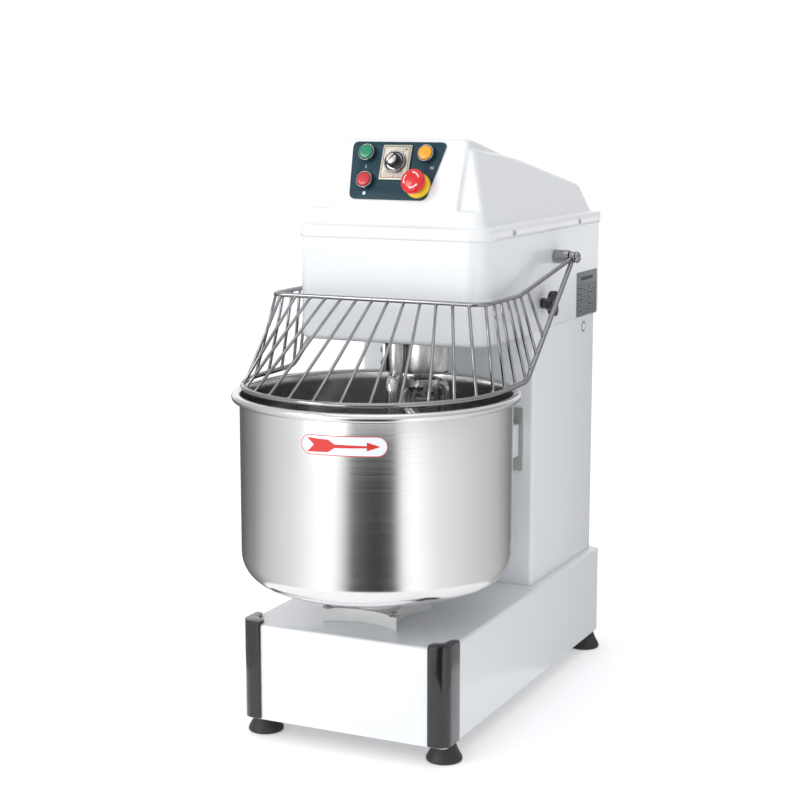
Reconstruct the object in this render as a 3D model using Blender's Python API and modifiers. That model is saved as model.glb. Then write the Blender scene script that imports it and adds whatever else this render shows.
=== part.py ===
# Spiral dough mixer, 30 litre class, as an assembly of separate pieces.
# Metres, +Z up. The machine faces -Y. All pieces hang from one empty whose
# origin is the bottom front edge of the base box, at mid width.
import bpy
import bmesh
import math
from mathutils import Vector, Matrix

# ------------------------------------------------------------------ dimensions
FOOT_H = 0.028            # foot height: the base box floats this far above the floor
BASE_W, BASE_D, BASE_H = 0.330, 0.650, 0.147
BASE_Y0 = -0.010          # the base box reaches this far in front of the zero line
COL_W, COL_Y0, COL_Y1 = 0.300, 0.360, 0.644
HEAD_W, HEAD_Y0, HEAD_Y1 = 0.314, 0.142, 0.646
HEAD_Z0, HEAD_Z1 = 0.557, 0.722
SKIRT_Z0, SKIRT_Z1 = 0.712, 0.731     # lip of the top cover
COVER_TOP_Z = 0.864
SHEET = 0.002             # sheet steel thickness
GAP = 0.0003              # clearance kept where pieces meet
BOWL_Y = 0.1052           # bowl axis
BOWL_R = 0.2025           # bowl wall, outside
BOWL_WALL = 0.0015
BOWL_Z0, BOWL_RIM_Z = 0.207, 0.487
RIM_R = 0.0065            # rolled rim tube radius
BOWL_CORNER = 0.047
SPIN = (0.028, 0.212)     # spiral spindle axis, X and Y
POST = (0.004, 0.163)      # breaker post under the head
BREAK = (0.030, 0.095)     # breaker bar axis inside the bowl
SHAFT = (0.0, 0.430)      # main shaft axis
MOTOR = (0.0, 0.555)      # motor axis
PIVOT = (0.428, 0.671)    # guard pivot, Y and Z
LINK = 0.0127             # chain pitch
T_UP, T_SPIRAL, T_LOW, T_BOWL = 38, 12, 13, 45   # sprocket teeth
GLAND = 0.018             # cable gland stands out of the back by this
Y_SHIFT = -((BOWL_Y - (BOWL_R + 0.0053 + RIM_R)) + BASE_D + GLAND) / 2

# ------------------------------------------------------------------ set-up
for o in list(bpy.data.objects):
    bpy.data.objects.remove(o, do_unlink=True)
scene = bpy.context.scene
PARTS = bpy.data.collections.new("spiral_mixer")
CUTS = bpy.data.collections.new("cutters")
scene.collection.children.link(PARTS)
scene.collection.children.link(CUTS)
ROOT = bpy.data.objects.new("datum", None)
PARTS.objects.link(ROOT)
ROOT.location = (0, Y_SHIFT, FOOT_H)


def material(name, rgb, rough, metal):
    m = bpy.data.materials.new(name)
    m.use_nodes = True
    b = m.node_tree.nodes["Principled BSDF"]
    b.inputs["Base Color"].default_value = (*rgb, 1)
    b.inputs["Roughness"].default_value = rough
    b.inputs["Metallic"].default_value = metal
    m.diffuse_color = (*rgb, 1)
    return m


WHITE = material("white_paint", (0.86, 0.88, 0.90), 0.30, 0.0)
STEEL = material("polished_steel", (0.62, 0.62, 0.63), 0.22, 1.0)
CHROME = material("chrome_wire", (0.75, 0.75, 0.77), 0.12, 1.0)
RUBBER = material("black_rubber", (0.035, 0.035, 0.037), 0.6, 0.0)
BLACK = material("black_plastic", (0.015, 0.015, 0.017), 0.25, 0.0)
PANEL = material("panel_blue", (0.05, 0.11, 0.15), 0.35, 0.0)
TIMER = material("timer_plate", (0.50, 0.48, 0.43), 0.4, 0.6)
GREEN = material("green_cap", (0.0, 0.30, 0.14), 0.35, 0.0)
YELLOW = material("amber_cap", (0.95, 0.42, 0.0), 0.35, 0.0)
RED = material("red_cap", (0.62, 0.02, 0.03), 0.35, 0.0)
ESTOP = material("estop_red", (0.75, 0.01, 0.02), 0.3, 0.0)
COLLAR = material("collar_yellow", (0.95, 0.65, 0.0), 0.35, 0.0)
NYLON = material("white_nylon", (0.82, 0.84, 0.83), 0.5, 0.0)
CAST = material("cast_grey", (0.32, 0.34, 0.36), 0.6, 0.6)
MACHINED = material("machined_steel", (0.45, 0.45, 0.46), 0.35, 1.0)
CHAIN = material("chain_steel", (0.20, 0.19, 0.18), 0.45, 1.0)
ALL = []


# ------------------------------------------------------------------ helpers
def put(name, data, mat, loc=(0, 0, 0), rot=(0, 0, 0), smooth=None):
    o = bpy.data.objects.new(name, data)
    PARTS.objects.link(o)
    o.parent = ROOT
    o.location = loc
    o.rotation_euler = rot
    data.materials.append(mat)
    if smooth and isinstance(data, bpy.types.Mesh):
        data.shade_smooth()
        data.set_sharp_from_angle(angle=math.radians(smooth))
    ALL.append(o)
    return o


def as_cutter(o):
    PARTS.objects.unlink(o)
    CUTS.objects.link(o)
    o.hide_render = True
    o.display_type = "WIRE"
    return o


def cut(obj, cutter, op="DIFFERENCE"):
    m = obj.modifiers.new("cut_" + cutter.name[:20], "BOOLEAN")
    m.operation = op
    m.object = cutter
    m.solver = "EXACT"
    if cutter.name not in CUTS.objects:
        as_cutter(cutter)
    return obj


def to_mesh(bm, name):
    me = bpy.data.meshes.new(name)
    bm.normal_update()
    bmesh.ops.recalc_face_normals(bm, faces=bm.faces)
    bm.to_mesh(me)
    bm.free()
    return me


def cube_bm(lo, hi):
    bm = bmesh.new()
    bmesh.ops.create_cube(bm, size=1.0)
    c = [(a + b) / 2 for a, b in zip(lo, hi)]
    s = [b - a for a, b in zip(lo, hi)]
    bmesh.ops.scale(bm, vec=s, verts=bm.verts)
    bmesh.ops.translate(bm, vec=c, verts=bm.verts)
    return bm


def round_edges(bm, pick, width, segs):
    edges = [e for e in bm.edges if pick(e.verts[0].co, e.verts[1].co)]
    bmesh.ops.bevel(bm, geom=edges, offset=width, segments=segs, affect="EDGES",
                    profile=0.5, clamp_overlap=True)


def upright(a, b):
    return abs(a.x - b.x) < 1e-5 and abs(a.y - b.y) < 1e-5


def box(name, lo, hi, mat, bevel=0.0, segs=2, loc=(0, 0, 0), rot=(0, 0, 0)):
    o = put(name, to_mesh(cube_bm(lo, hi), name), mat, loc, rot)
    if bevel:
        b = o.modifiers.new("round", "BEVEL")
        b.width, b.segments, b.limit_method = bevel, segs, "ANGLE"
    return o


def cyl(name, r, z0, z1, mat, loc=(0, 0, 0), rot=(0, 0, 0), segs=20, r2=None):
    bm = bmesh.new()
    bmesh.ops.create_cone(bm, cap_ends=True, segments=segs, radius1=r,
                          radius2=r if r2 is None else r2, depth=z1 - z0)
    bmesh.ops.translate(bm, vec=(0, 0, (z0 + z1) / 2), verts=bm.verts)
    return put(name, to_mesh(bm, name), mat, loc, rot, 40)


def lathe(name, prof, mat, loc=(0, 0, 0), rot=(0, 0, 0), steps=24, closed=False):
    me = bpy.data.meshes.new(name)
    n = len(prof)
    edges = [(i, i + 1) for i in range(n - 1)] + ([(n - 1, 0)] if closed else [])
    me.from_pydata([(r, 0, z) for r, z in prof], edges, [])
    o = put(name, me, mat, loc, rot)
    s = o.modifiers.new("turn", "SCREW")
    s.axis, s.angle, s.screw_offset = "Z", 2 * math.pi, 0
    s.steps = s.render_steps = steps
    s.use_merge_vertices, s.merge_threshold = True, 0.00002
    s.use_smooth_shade = True
    return o


def prism(name, loops, thick, mat, loc=(0, 0, 0), rot=(0, 0, 0)):
    c = bpy.data.curves.new(name, "CURVE")
    c.dimensions, c.fill_mode, c.extrude = "2D", "BOTH", thick / 2
    for pts in loops:
        s = c.splines.new("POLY")
        s.points.add(len(pts) - 1)
        for p, (x, y) in zip(s.points, pts):
            p.co = (x, y, 0, 1)
        s.use_cyclic_u = True
    return put(name, c, mat, loc, rot)


def tube(name, pts, r, res, mat, loc=(0, 0, 0), cyclic=False):
    c = bpy.data.curves.new(name, "CURVE")
    c.dimensions = "3D"
    c.bevel_depth, c.bevel_resolution, c.use_fill_caps = r, res, True
    s = c.splines.new("POLY")
    s.points.add(len(pts) - 1)
    for p, q in zip(s.points, pts):
        p.co = (*q, 1)
    s.use_cyclic_u = cyclic
    return put(name, c, mat, loc)


def solid(o):
    """A curve made into a welded mesh, so that Boolean modifiers can use it."""
    graph = bpy.context.evaluated_depsgraph_get()
    me = bpy.data.meshes.new_from_object(o.evaluated_get(graph))
    bm = bmesh.new()
    bm.from_mesh(me)
    bmesh.ops.remove_doubles(bm, verts=bm.verts, dist=0.00001)
    bmesh.ops.recalc_face_normals(bm, faces=bm.faces)
    bm.to_mesh(me)
    bm.free()
    name, loc, rot = o.name, o.location.copy(), o.rotation_euler.copy()
    mat = me.materials[0] if len(me.materials) else None
    ALL.remove(o)
    bpy.data.objects.remove(o, do_unlink=True)
    n = bpy.data.objects.new(name, me)
    PARTS.objects.link(n)
    n.parent, n.location, n.rotation_euler = ROOT, loc, rot
    if not len(me.materials) and mat:
        me.materials.append(mat)
    ALL.append(n)
    return n


def circle(r, n, cx=0.0, cy=0.0, a0=0.0):
    return [(cx + r * math.cos(a0 + 2 * math.pi * i / n),
             cy + r * math.sin(a0 + 2 * math.pi * i / n)) for i in range(n)]


def arc(cx, cy, r, a0, a1, n):
    return [(cx + r * math.cos(math.radians(a0 + (a1 - a0) * i / n)),
             cy + r * math.sin(math.radians(a0 + (a1 - a0) * i / n))) for i in range(n + 1)]


HALF = math.pi / 2
XROT = (0, HALF, 0)       # turns local +Z to +X
XROT_L = (0, -HALF, 0)    # turns local +Z to -X

# ------------------------------------------------------------------ base box
bm = cube_bm((-BASE_W / 2, BASE_Y0, 0), (BASE_W / 2, BASE_D, BASE_H))
bmesh.ops.delete(bm, geom=[f for f in bm.faces if f.normal.z < -0.9], context="FACES")
round_edges(bm, upright, 0.010, 2)
round_edges(bm, lambda a, b: a.z > BASE_H - 1e-4 and b.z > BASE_H - 1e-4
            and (abs(abs(a.x) - BASE_W / 2) < 0.012 or min(a.y - BASE_Y0, BASE_D - a.y) < 0.012)
            and (abs(abs(b.x) - BASE_W / 2) < 0.012 or min(b.y - BASE_Y0, BASE_D - b.y) < 0.012)
            and not (abs(a.y - b.y) > 0.2 and abs(a.x) < 0.1), 0.006, 2)
base = put("base_housing", to_mesh(bm, "base_housing"), WHITE)
s = base.modifiers.new("sheet", "SOLIDIFY")
s.thickness, s.offset, s.use_even_offset = SHEET, -1, True
cut(base, cyl("c_base_bowl", 0.030, 0.13, 0.16, WHITE, (0, BOWL_Y, 0), segs=24))
cut(base, cyl("c_base_shaft", 0.022, 0.13, 0.16, WHITE, (SHAFT[0], SHAFT[1], 0), segs=20))
cut(base, cyl("c_base_gland", 0.0082, -0.02, 0.02, WHITE, (0.105, BASE_D, 0.075), (HALF, 0, 0), segs=16))

# black corner guards over the two front edges of the base, hooked over its top
for side, tag in ((-1, "left"), (1, "right")):
    r, t = 0.010, 0.0035
    outer = [(0.165 + t - 0.032, -t)] + arc(0.165 - 0.014, 0.014, 0.014 + t, -90, 0, 5) + [(0.165 + t, 0.044)]
    inner = [(0.165 + 0.0004, 0.044)] + arc(0.165 - r, r, r + 0.0004, 0, -90, 3) + [(0.165 + t - 0.032, -0.0004)]
    sec = outer + inner
    if side < 0:
        sec = [(-x, y) for x, y in reversed(sec)]
    g = solid(prism("corner_guard_" + tag, [sec], 0.1475, BLACK, (0, BASE_Y0, 0.0735 + 0.0015)))
    lip = outer + [(0.165 + t - 0.012, 0.044), (0.165 - 0.0120, 0.028), (0.165 - 0.0190, 0.0190), (0.165 - 0.0200, 0.0095)]
    if side < 0:
        lip = [(-x, y) for x, y in reversed(lip)]
    top = solid(prism("c_lip_" + tag, [lip], 0.0042, BLACK, (0, BASE_Y0, BASE_H + 0.0004 + 0.0021)))
    cut(g, top, "UNION")

# rubber feet with a threaded neck that reaches up to the base
for sx, sy, tag in ((-1, 0, "front_left"), (1, 0, "front_right"), (-1, 1, "rear_left"), (1, 1, "rear_right")):
    y = 0.0235 if sy == 0 else BASE_D - 0.026
    lathe("foot_" + tag, [(0, -0.0006), (0.0165, -0.0006), (0.0180, -0.0040), (0.0270, -0.0230),
                          (0.0268, -0.0262), (0.0240, -0.0280), (0, -0.0280)], RUBBER,
          (sx * 0.1480, y, 0), steps=20)

# ------------------------------------------------------------------ column
bm = cube_bm((-COL_W / 2, COL_Y0, BASE_H + GAP), (COL_W / 2, COL_Y1, HEAD_Z0 - GAP))
bmesh.ops.delete(bm, geom=[f for f in bm.faces if abs(f.normal.z) > 0.9], context="FACES")
round_edges(bm, upright, 0.007, 2)
col = put("column_housing", to_mesh(bm, "column_housing"), WHITE)
s = col.modifiers.new("sheet", "SOLIDIFY")
s.thickness, s.offset, s.use_even_offset = SHEET, -1, True
cut(col, box("c_col_door", (-0.120, COL_Y1 - 0.02, 0.18), (0.120, COL_Y1 + 0.02, 0.53), WHITE))
box("rear_cover", (-0.132, COL_Y1 + GAP, 0.168), (0.132, COL_Y1 + GAP + SHEET, 0.542), WHITE, 0.0008, 1)

# ------------------------------------------------------------------ head shell
bm = cube_bm((-HEAD_W / 2, HEAD_Y0, HEAD_Z0), (HEAD_W / 2, HEAD_Y1, HEAD_Z1))
bmesh.ops.delete(bm, geom=[f for f in bm.faces if f.normal.z > 0.9], context="FACES")
round_edges(bm, lambda a, b: upright(a, b) and a.y < 0.3, 0.034, 5)
round_edges(bm, lambda a, b: upright(a, b) and a.y > 0.6, 0.008, 2)
round_edges(bm, lambda a, b: a.z < HEAD_Z0 + 1e-4 and b.z < HEAD_Z0 + 1e-4, 0.010, 2)
head = put("head_housing", to_mesh(bm, "head_housing"), WHITE)
s = head.modifiers.new("sheet", "SOLIDIFY")
s.thickness, s.offset, s.use_even_offset = SHEET, -1, True
cut(head, cyl("c_head_spin", 0.0365, 0.54, 0.58, WHITE, (*SPIN, 0), segs=28))
cut(head, box("c_head_shaft", (-0.115, 0.375, 0.54), (0.115, 0.625, 0.58), WHITE))
for sx, tag in ((-1, "l"), (1, "r")):
    cut(head, cyl("c_head_piv_" + tag, 0.0070, 0.140, 0.170, WHITE, (0, *PIVOT), XROT if sx > 0 else XROT_L, 16))
cut(head, cyl("c_head_knob", 0.0045, 0.140, 0.170, WHITE, (0, 0.372, 0.602), XROT, 12))

# ------------------------------------------------------------------ top cover
FACE_P, FACE_V = Vector((0, 0.152, 0.745)), Vector((0, 0.048, 0.119)).normalized()
FACE_N = Vector((0, -FACE_V.z, FACE_V.y))
FACE_Y0 = 0.152 - (0.745 - 0.7275) * 0.048 / 0.119


def hull_bm(inset):
    """The tapered body of the cover: a cube whose eight corners follow its planes."""
    k = inset
    bm = cube_bm((-1, 0, 0), (1, 1, 1))
    for v in bm.verts:
        sx, back, up = (1 if v.co.x > 0 else -1), v.co.y > 0.5, v.co.z > 0.5
        if not up:
            v.co = (sx * (0.1535 - k), (0.634 - k) if back else (FACE_Y0 + k * 1.2), 0.7275)
        elif not back:
            v.co = (sx * (0.1080 - k), 0.2000 + k, COVER_TOP_Z - k)
        else:
            v.co = (sx * (0.1365 - k), 0.612 - k, 0.777 - k)
    return bm


def skirt_bm(z0, z1, k):
    bm = cube_bm((-0.160 + k, 0.139 + k, z0), (0.160 - k, 0.649 - k, z1))
    round_edges(bm, lambda a, b: upright(a, b) and a.y < 0.3, 0.037 - k, 5)
    round_edges(bm, lambda a, b: upright(a, b) and a.y > 0.6, 0.010 - k * 0.9, 2)
    return bm


def soft_hull_bm(k):
    bm = hull_bm(k)
    bmesh.ops.bevel(bm, geom=[e for e in bm.edges if abs((e.verts[0].co - e.verts[1].co).z) > 0.03
                              and abs((e.verts[0].co - e.verts[1].co).y) < 0.1], offset=0.020, segments=3,
                    affect="EDGES", profile=0.5)
    bm.normal_update()
    bmesh.ops.bevel(bm, geom=[e for e in bm.edges if e.verts[0].co.z > 0.75 and e.verts[1].co.z > 0.75
                              and abs(e.calc_face_angle(0)) > 0.5], offset=0.009, segments=2,
                    affect="EDGES", profile=0.5)
    return bm


cover = put("head_cover", to_mesh(soft_hull_bm(0.0), "head_cover"), WHITE)
skirt = put("c_skirt", to_mesh(skirt_bm(SKIRT_Z0, SKIRT_Z1, 0.0), "c_skirt"), WHITE)
inner_skirt = put("c_skirt_in", to_mesh(skirt_bm(0.700, 0.7283, 0.0025), "c_skirt_in"), WHITE)
inner = put("c_hull_in", to_mesh(soft_hull_bm(0.0030), "c_hull_in"), WHITE)


def wing_cutters(tag, k):
    """Two wedges that set the front corners of the cover back, either side of the raised panel."""
    made = []
    for sx in (-1, 1):
        x0, x1 = (0.104 - k), 0.175
        a = FACE_P + FACE_V * (0.008 - k) + FACE_N * 0.05
        b = FACE_P + FACE_V * (0.012 - k) - FACE_N * (0.0075 + k)
        c = FACE_P + FACE_V * 0.150 - FACE_N * (0.0075 + k)
        d = FACE_P + FACE_V * 0.150 + FACE_N * 0.05
        corner = {(0, 0): a, (1, 0): b, (1, 1): c, (0, 1): d}
        bm = cube_bm((0, 0, 0), (1, 1, 1))
        for v in bm.verts:
            p = corner[(round(v.co.y), round(v.co.z))]
            v.co = (sx * (x0 if v.co.x < 0.5 else x1), p.y, p.z)
        made.append(as_cutter(put(f"c_wing_{tag}_{'l' if sx < 0 else 'r'}", to_mesh(bm, "w"), WHITE)))
        bm = cube_bm((0, 0, 0), (1, 1, 1))
        roof = {(0, 0): (0.150, 0.851 - k), (1, 0): (0.400, 0.8225 - k), (1, 1): (0.400, 0.93), (0, 1): (0.150, 0.93)}
        for v in bm.verts:
            p = roof[(round(v.co.y), round(v.co.z))]
            v.co = (sx * (x0 if v.co.x < 0.5 else x1), p[0], p[1])
        made.append(as_cutter(put(f"c_roof_{tag}_{'l' if sx < 0 else 'r'}", to_mesh(bm, "w"), WHITE)))
    return made


for c in wing_cutters("in", 0.003):
    cut(inner, c)
for c in wing_cutters("out", 0.0):
    cut(cover, c)
cut(cover, skirt, "UNION")
cut(cover, inner_skirt)
cut(cover, inner)


# a point of the control face: u across, v up the slope from its lower edge, h out of it
def on_face(u, v, h):
    return Vector((u, 0, 0)) + FACE_P + FACE_V * v + FACE_N * h


FACE_ROT = Matrix((Vector((1, 0, 0)), FACE_V, FACE_N)).transposed().to_euler()
BUTTONS = {"start_slow": (-0.0530, 0.0978, GREEN), "start_fast": (0.0443, 0.0976, YELLOW), "stop": (-0.0492, 0.0548, RED)}
TIMER_UV, ESTOP_UV = (-0.0045, 0.0842), (0.0380, 0.0488)
PANEL_T = 0.0012


def round_poly(pts, r, n=4):
    out = []
    for i, p in enumerate(pts):
        a, b, c = Vector(pts[i - 1]), Vector(p), Vector(pts[(i + 1) % len(pts)])
        u, w = (a - b).normalized(), (c - b).normalized()
        half = math.acos(max(-1, min(1, u.dot(w)))) / 2
        d = r / math.tan(half)
        ctr = b + (u + w).normalized() * (r / math.sin(half))
        s, e = b + u * d - ctr, b + w * d - ctr
        a0, a1 = math.atan2(s.y, s.x), math.atan2(e.y, e.x)
        da = (a1 - a0 + math.pi) % (2 * math.pi) - math.pi
        out += [(ctr.x + r * math.cos(a0 + da * k / n), ctr.y + r * math.sin(a0 + da * k / n)) for k in range(n + 1)]
    return out


corners = [(-0.0814, 0.1172), (-0.0729, 0.0268), (0.0527, 0.0262), (0.0742, 0.1172)]
hole = []
for n, (u, v, m) in BUTTONS.items():
    hole.append(circle(0.0112, 16, u, v))
    cut(cover, cyl("c_hole_" + n, 0.0112, -0.02, 0.02, WHITE, on_face(u, v, 0), FACE_ROT, 16))
hole.append(circle(0.0112, 16, *ESTOP_UV))
cut(cover, cyl("c_hole_estop", 0.0112, -0.02, 0.02, WHITE, on_face(*ESTOP_UV, 0), FACE_ROT, 16))
hole.append(circle(0.0050, 12, *TIMER_UV))
cut(cover, cyl("c_hole_timer", 0.0050, -0.02, 0.02, WHITE, on_face(*TIMER_UV, 0), FACE_ROT, 12))
prism("control_panel", [round_poly(corners, 0.008)] + hole, PANEL_T, PANEL, on_face(0, 0, GAP + PANEL_T / 2), FACE_ROT)
TOP = GAP + PANEL_T + GAP
tp = prism("timer_plate", [round_poly([(-0.0240, -0.0275), (0.0240, -0.0275), (0.0240, 0.0275), (-0.0240, 0.0275)], 0.002, 2),
                           circle(0.0050, 12)], 0.0030, TIMER, on_face(*TIMER_UV, TOP + 0.0015), FACE_ROT)
lathe("timer_knob", [(0, 0.0180), (0.0105, 0.0180), (0.0122, 0.0165), (0.0128, 0.0065), (0.0168, 0.0045), (0.0172, 0.0),
                     (0.0045, 0.0), (0.0045, -0.0100), (0, -0.0100)], CHROME,
      on_face(*TIMER_UV, TOP + 0.0030 + GAP), FACE_ROT, 24)
for n, (u, v, m) in BUTTONS.items():
    lathe(n + "_bezel", [(0.0120, 0.0090), (0.0132, 0.0086), (0.0136, 0.0), (0.0113, 0.0), (0.0113, 0.0090)], CHROME,
          on_face(u, v, TOP), FACE_ROT, 24, closed=True)
    lathe(n + "_button", [(0, 0.0112), (0.0102, 0.0112), (0.0108, 0.0106), (0.0108, -0.0080), (0, -0.0080)], m,
          on_face(u, v, TOP), FACE_ROT, 24)
lathe("estop_collar", [(0.0150, 0.0070), (0.0183, 0.0055), (0.0195, 0.0020), (0.0195, 0.0), (0.0113, 0.0), (0.0113, 0.0070)], COLLAR,
      on_face(*ESTOP_UV, TOP), FACE_ROT, 28, closed=True)
lathe("estop_stem", [(0, 0.0185), (0.0060, 0.0185), (0.0060, 0.0120), (0.0108, 0.0120), (0.0108, -0.0090), (0, -0.0090)], ESTOP,
      on_face(*ESTOP_UV, TOP), FACE_ROT, 20)
lathe("estop_head", [(0, 0.0285), (0.0100, 0.0278), (0.0165, 0.0255), (0.0193, 0.0215), (0.0193, 0.0180), (0.0165, 0.0135),
                     (0.0063, 0.0135), (0.0063, 0.0190), (0, 0.0190)], ESTOP,
      on_face(*ESTOP_UV, TOP), FACE_ROT, 28)

# cover screws, two a side, through the lip
for sx, tag in ((-1, "left"), (1, "right")):
    for y, w in ((0.247, "front"), (0.535, "rear")):
        lathe(f"cover_screw_{tag}_{w}", [(0, 0.0028), (0.0022, 0.0024), (0.0038, 0.0003), (0, 0.0003)], STEEL,
              (sx * 0.160, y, 0.7205), XROT if sx > 0 else XROT_L, 12)

# ------------------------------------------------------------------ bowl
ri = BOWL_R
prof = [(0.0, BOWL_Z0), (BOWL_R - BOWL_CORNER, BOWL_Z0)]
prof += [(BOWL_R - BOWL_CORNER + x, BOWL_Z0 + BOWL_CORNER + z) for x, z in arc(0, 0, BOWL_CORNER, -90, 0, 6)][1:]
prof += [(BOWL_R, BOWL_RIM_Z - 0.002)]
inside = [(0.0, BOWL_Z0 + BOWL_WALL), (BOWL_R - BOWL_CORNER, BOWL_Z0 + BOWL_WALL)]
inside += [(BOWL_R - BOWL_CORNER + x, BOWL_Z0 + BOWL_CORNER + z) for x, z in arc(0, 0, BOWL_CORNER - BOWL_WALL, -90, 0, 6)][1:]
rim = arc(BOWL_R + 0.0053, BOWL_RIM_Z, RIM_R, 175, -150, 9)     # over the top and down the outside
lo_wall = [(BOWL_R, BOWL_RIM_Z - 0.006)]
line = inside + rim + list(reversed(prof[:-1]))
line = list(reversed(line))
line = list(reversed(line))
# from the inside centre, up the wall, over the rolled rim, down the outside, to the underside centre
lathe("bowl", line, STEEL, (0, BOWL_Y, 0), steps=40)

# bowl shaft with its drive flange under the bowl, and the driven sprocket
lathe("bowl_shaft", [(0, BOWL_Z0 - GAP), (0.060, BOWL_Z0 - GAP), (0.060, BOWL_Z0 - 0.010), (0.0225, BOWL_Z0 - 0.014),
                     (0.0225, BASE_H + 0.032), (0.0150, BASE_H + 0.032), (0.0150, 0.045), (0, 0.045)], MACHINED,
      (0, BOWL_Y, 0), steps=24)


def sprocket_loops(teeth, bore):
    r = LINK / (2 * math.sin(math.pi / teeth))
    pts = []
    for i in range(teeth):
        a = 2 * math.pi * i / teeth
        d = 2 * math.pi / teeth
        for f, rr in ((-0.28, r - 0.0036), (-0.09, r + 0.0034), (0.09, r + 0.0034), (0.28, r - 0.0036)):
            pts.append((rr * math.cos(a + f * d), rr * math.sin(a + f * d)))
    return [pts, circle(bore, 20)]


SPR_T = 0.006
prism("bowl_sprocket", sprocket_loops(T_BOWL, 0.0153), SPR_T, MACHINED, (0, BOWL_Y, 0.070))
prism("main_shaft_lower_sprocket", sprocket_loops(T_LOW, 0.0128), SPR_T, MACHINED, (*SHAFT, 0.070))
prism("main_shaft_upper_sprocket", sprocket_loops(T_UP, 0.0128), SPR_T, MACHINED, (*SHAFT, 0.640))
prism("spindle_sprocket", sprocket_loops(T_SPIRAL, 0.0153), SPR_T, MACHINED, (*SPIN, 0.640))


def chain_loop(c1, r1, c2, r2, n1, n2):
    """Outline of a chain round two wheels: centre and radius of each."""
    c1, c2 = Vector(c1), Vector(c2)
    d = c2 - c1
    base_a = math.atan2(d.y, d.x)
    off = math.acos((r1 - r2) / d.length)
    pts = []
    for i in range(n1 + 1):
        a = base_a + off + (2 * math.pi - 2 * off) * i / n1
        pts.append((c1.x + r1 * math.cos(a), c1.y + r1 * math.sin(a)))
    for i in range(n2 + 1):
        a = base_a - off + 2 * off * i / n2
        pts.append((c2.x + r2 * math.cos(a), c2.y + r2 * math.sin(a)))
    return pts


def pitch_r(t):
    return LINK / (2 * math.sin(math.pi / t))


def chain(name, c1, t1, c2, t2, z, n1, n2):
    """A roller chain as one closed band with a groove inside that the teeth run in."""
    def band(lo, hi, thick, nm):
        out = chain_loop(c1, pitch_r(t1) + hi, c2, pitch_r(t2) + hi, n1, n2)
        inn = chain_loop(c1, pitch_r(t1) + lo, c2, pitch_r(t2) + lo, n1, n2)
        return solid(prism(nm, [out, inn], thick, CHAIN, (0, 0, z)))
    whole = band(-0.0042, 0.0062, 0.0120, name)
    groove = band(-0.0070, 0.0042, SPR_T + 0.0012, "c_" + name)
    return cut(whole, groove)


chain("lower_chain", (0, BOWL_Y), T_BOWL, SHAFT, T_LOW, 0.070, 26, 8)
chain("upper_chain", SHAFT, T_UP, SPIN, T_SPIRAL, 0.640, 24, 8)

# ------------------------------------------------------------------ bowl bearing housing: four-bolt flange on the base
h = 0.055
sec = []
for cx, cy, a in ((h, -h, -45), (h, h, 45), (-h, h, 135), (-h, -h, 225)):
    sec += arc(cx, cy, 0.0135, a - 75, a + 75, 6)
pad = solid(prism("bowl_bearing_housing", [sec], 0.0200, WHITE, (0, BOWL_Y, BASE_H + GAP + 0.0100)))
for k, (dx, dy) in enumerate(((0, -1), (1, 0), (0, 1), (-1, 0))):
    cut(pad, cyl(f"c_waist_{k}", 0.110, 0.13, 0.19, WHITE, (dx * 0.1530, BOWL_Y + dy * 0.1530, 0), segs=40))
cut(pad, cyl("c_boss", 0.036, BASE_H + 0.004, BASE_H + 0.030, WHITE, (0, BOWL_Y, 0), segs=28), "UNION")
cut(pad, cyl("c_boss_bore", 0.0154, 0.12, 0.22, WHITE, (0, BOWL_Y, 0), segs=24))
for sx, sy, tag in ((-1, -1, "front_left"), (1, -1, "front_right"), (-1, 1, "rear_left"), (1, 1, "rear_right")):
    lathe("bearing_bolt_" + tag, [(0, 0.0062), (0.0048, 0.0062), (0.0062, 0.0052), (0.0062, 0.0010), (0.0078, 0.0010), (0.0078, 0.0),
                                  (0, 0.0)], STEEL,
          (sx * h, BOWL_Y + sy * h, BASE_H + GAP + 0.0200 + GAP), steps=12)

# ------------------------------------------------------------------ spindle, spiral and breaker bar
lathe("spindle_housing", [(0.0385, 0.5565), (0.0385, 0.5070), (0.0150 + GAP * 1.5, 0.5070), (0.0150 + GAP * 1.5, 0.6150),
                          (0.0300, 0.6150), (0.0350, 0.5565)], STEEL, (*SPIN, 0), steps=32, closed=True)
lathe("spindle_shaft", [(0, 0.6620), (0.0150, 0.6620), (0.0150, 0.5000), (0, 0.5000)], MACHINED, (*SPIN, 0), steps=20)
HOOK_TOP, HOOK_BOT, BAR = 0.4775, 0.2320, 0.0100


def swirl(i, n):
    """Centre line of the spiral bar: out of the hub, down and round, back in at the foot."""
    t = i / n
    ang = math.radians(-104 + 226 * t)
    grow = min(1.0, t / 0.16)
    end = max(0.0, (t - 0.80) / 0.20)
    r = 0.034 + (0.0735 - 0.034) * math.sin(grow * HALF) - (0.0735 - 0.046) * (end * end * (3 - 2 * end))
    z = HOOK_TOP - (HOOK_TOP - HOOK_BOT) * (0.04 * t + 0.96 * (t ** 1.02))
    return (r * math.cos(ang), r * math.sin(ang), z)


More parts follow.
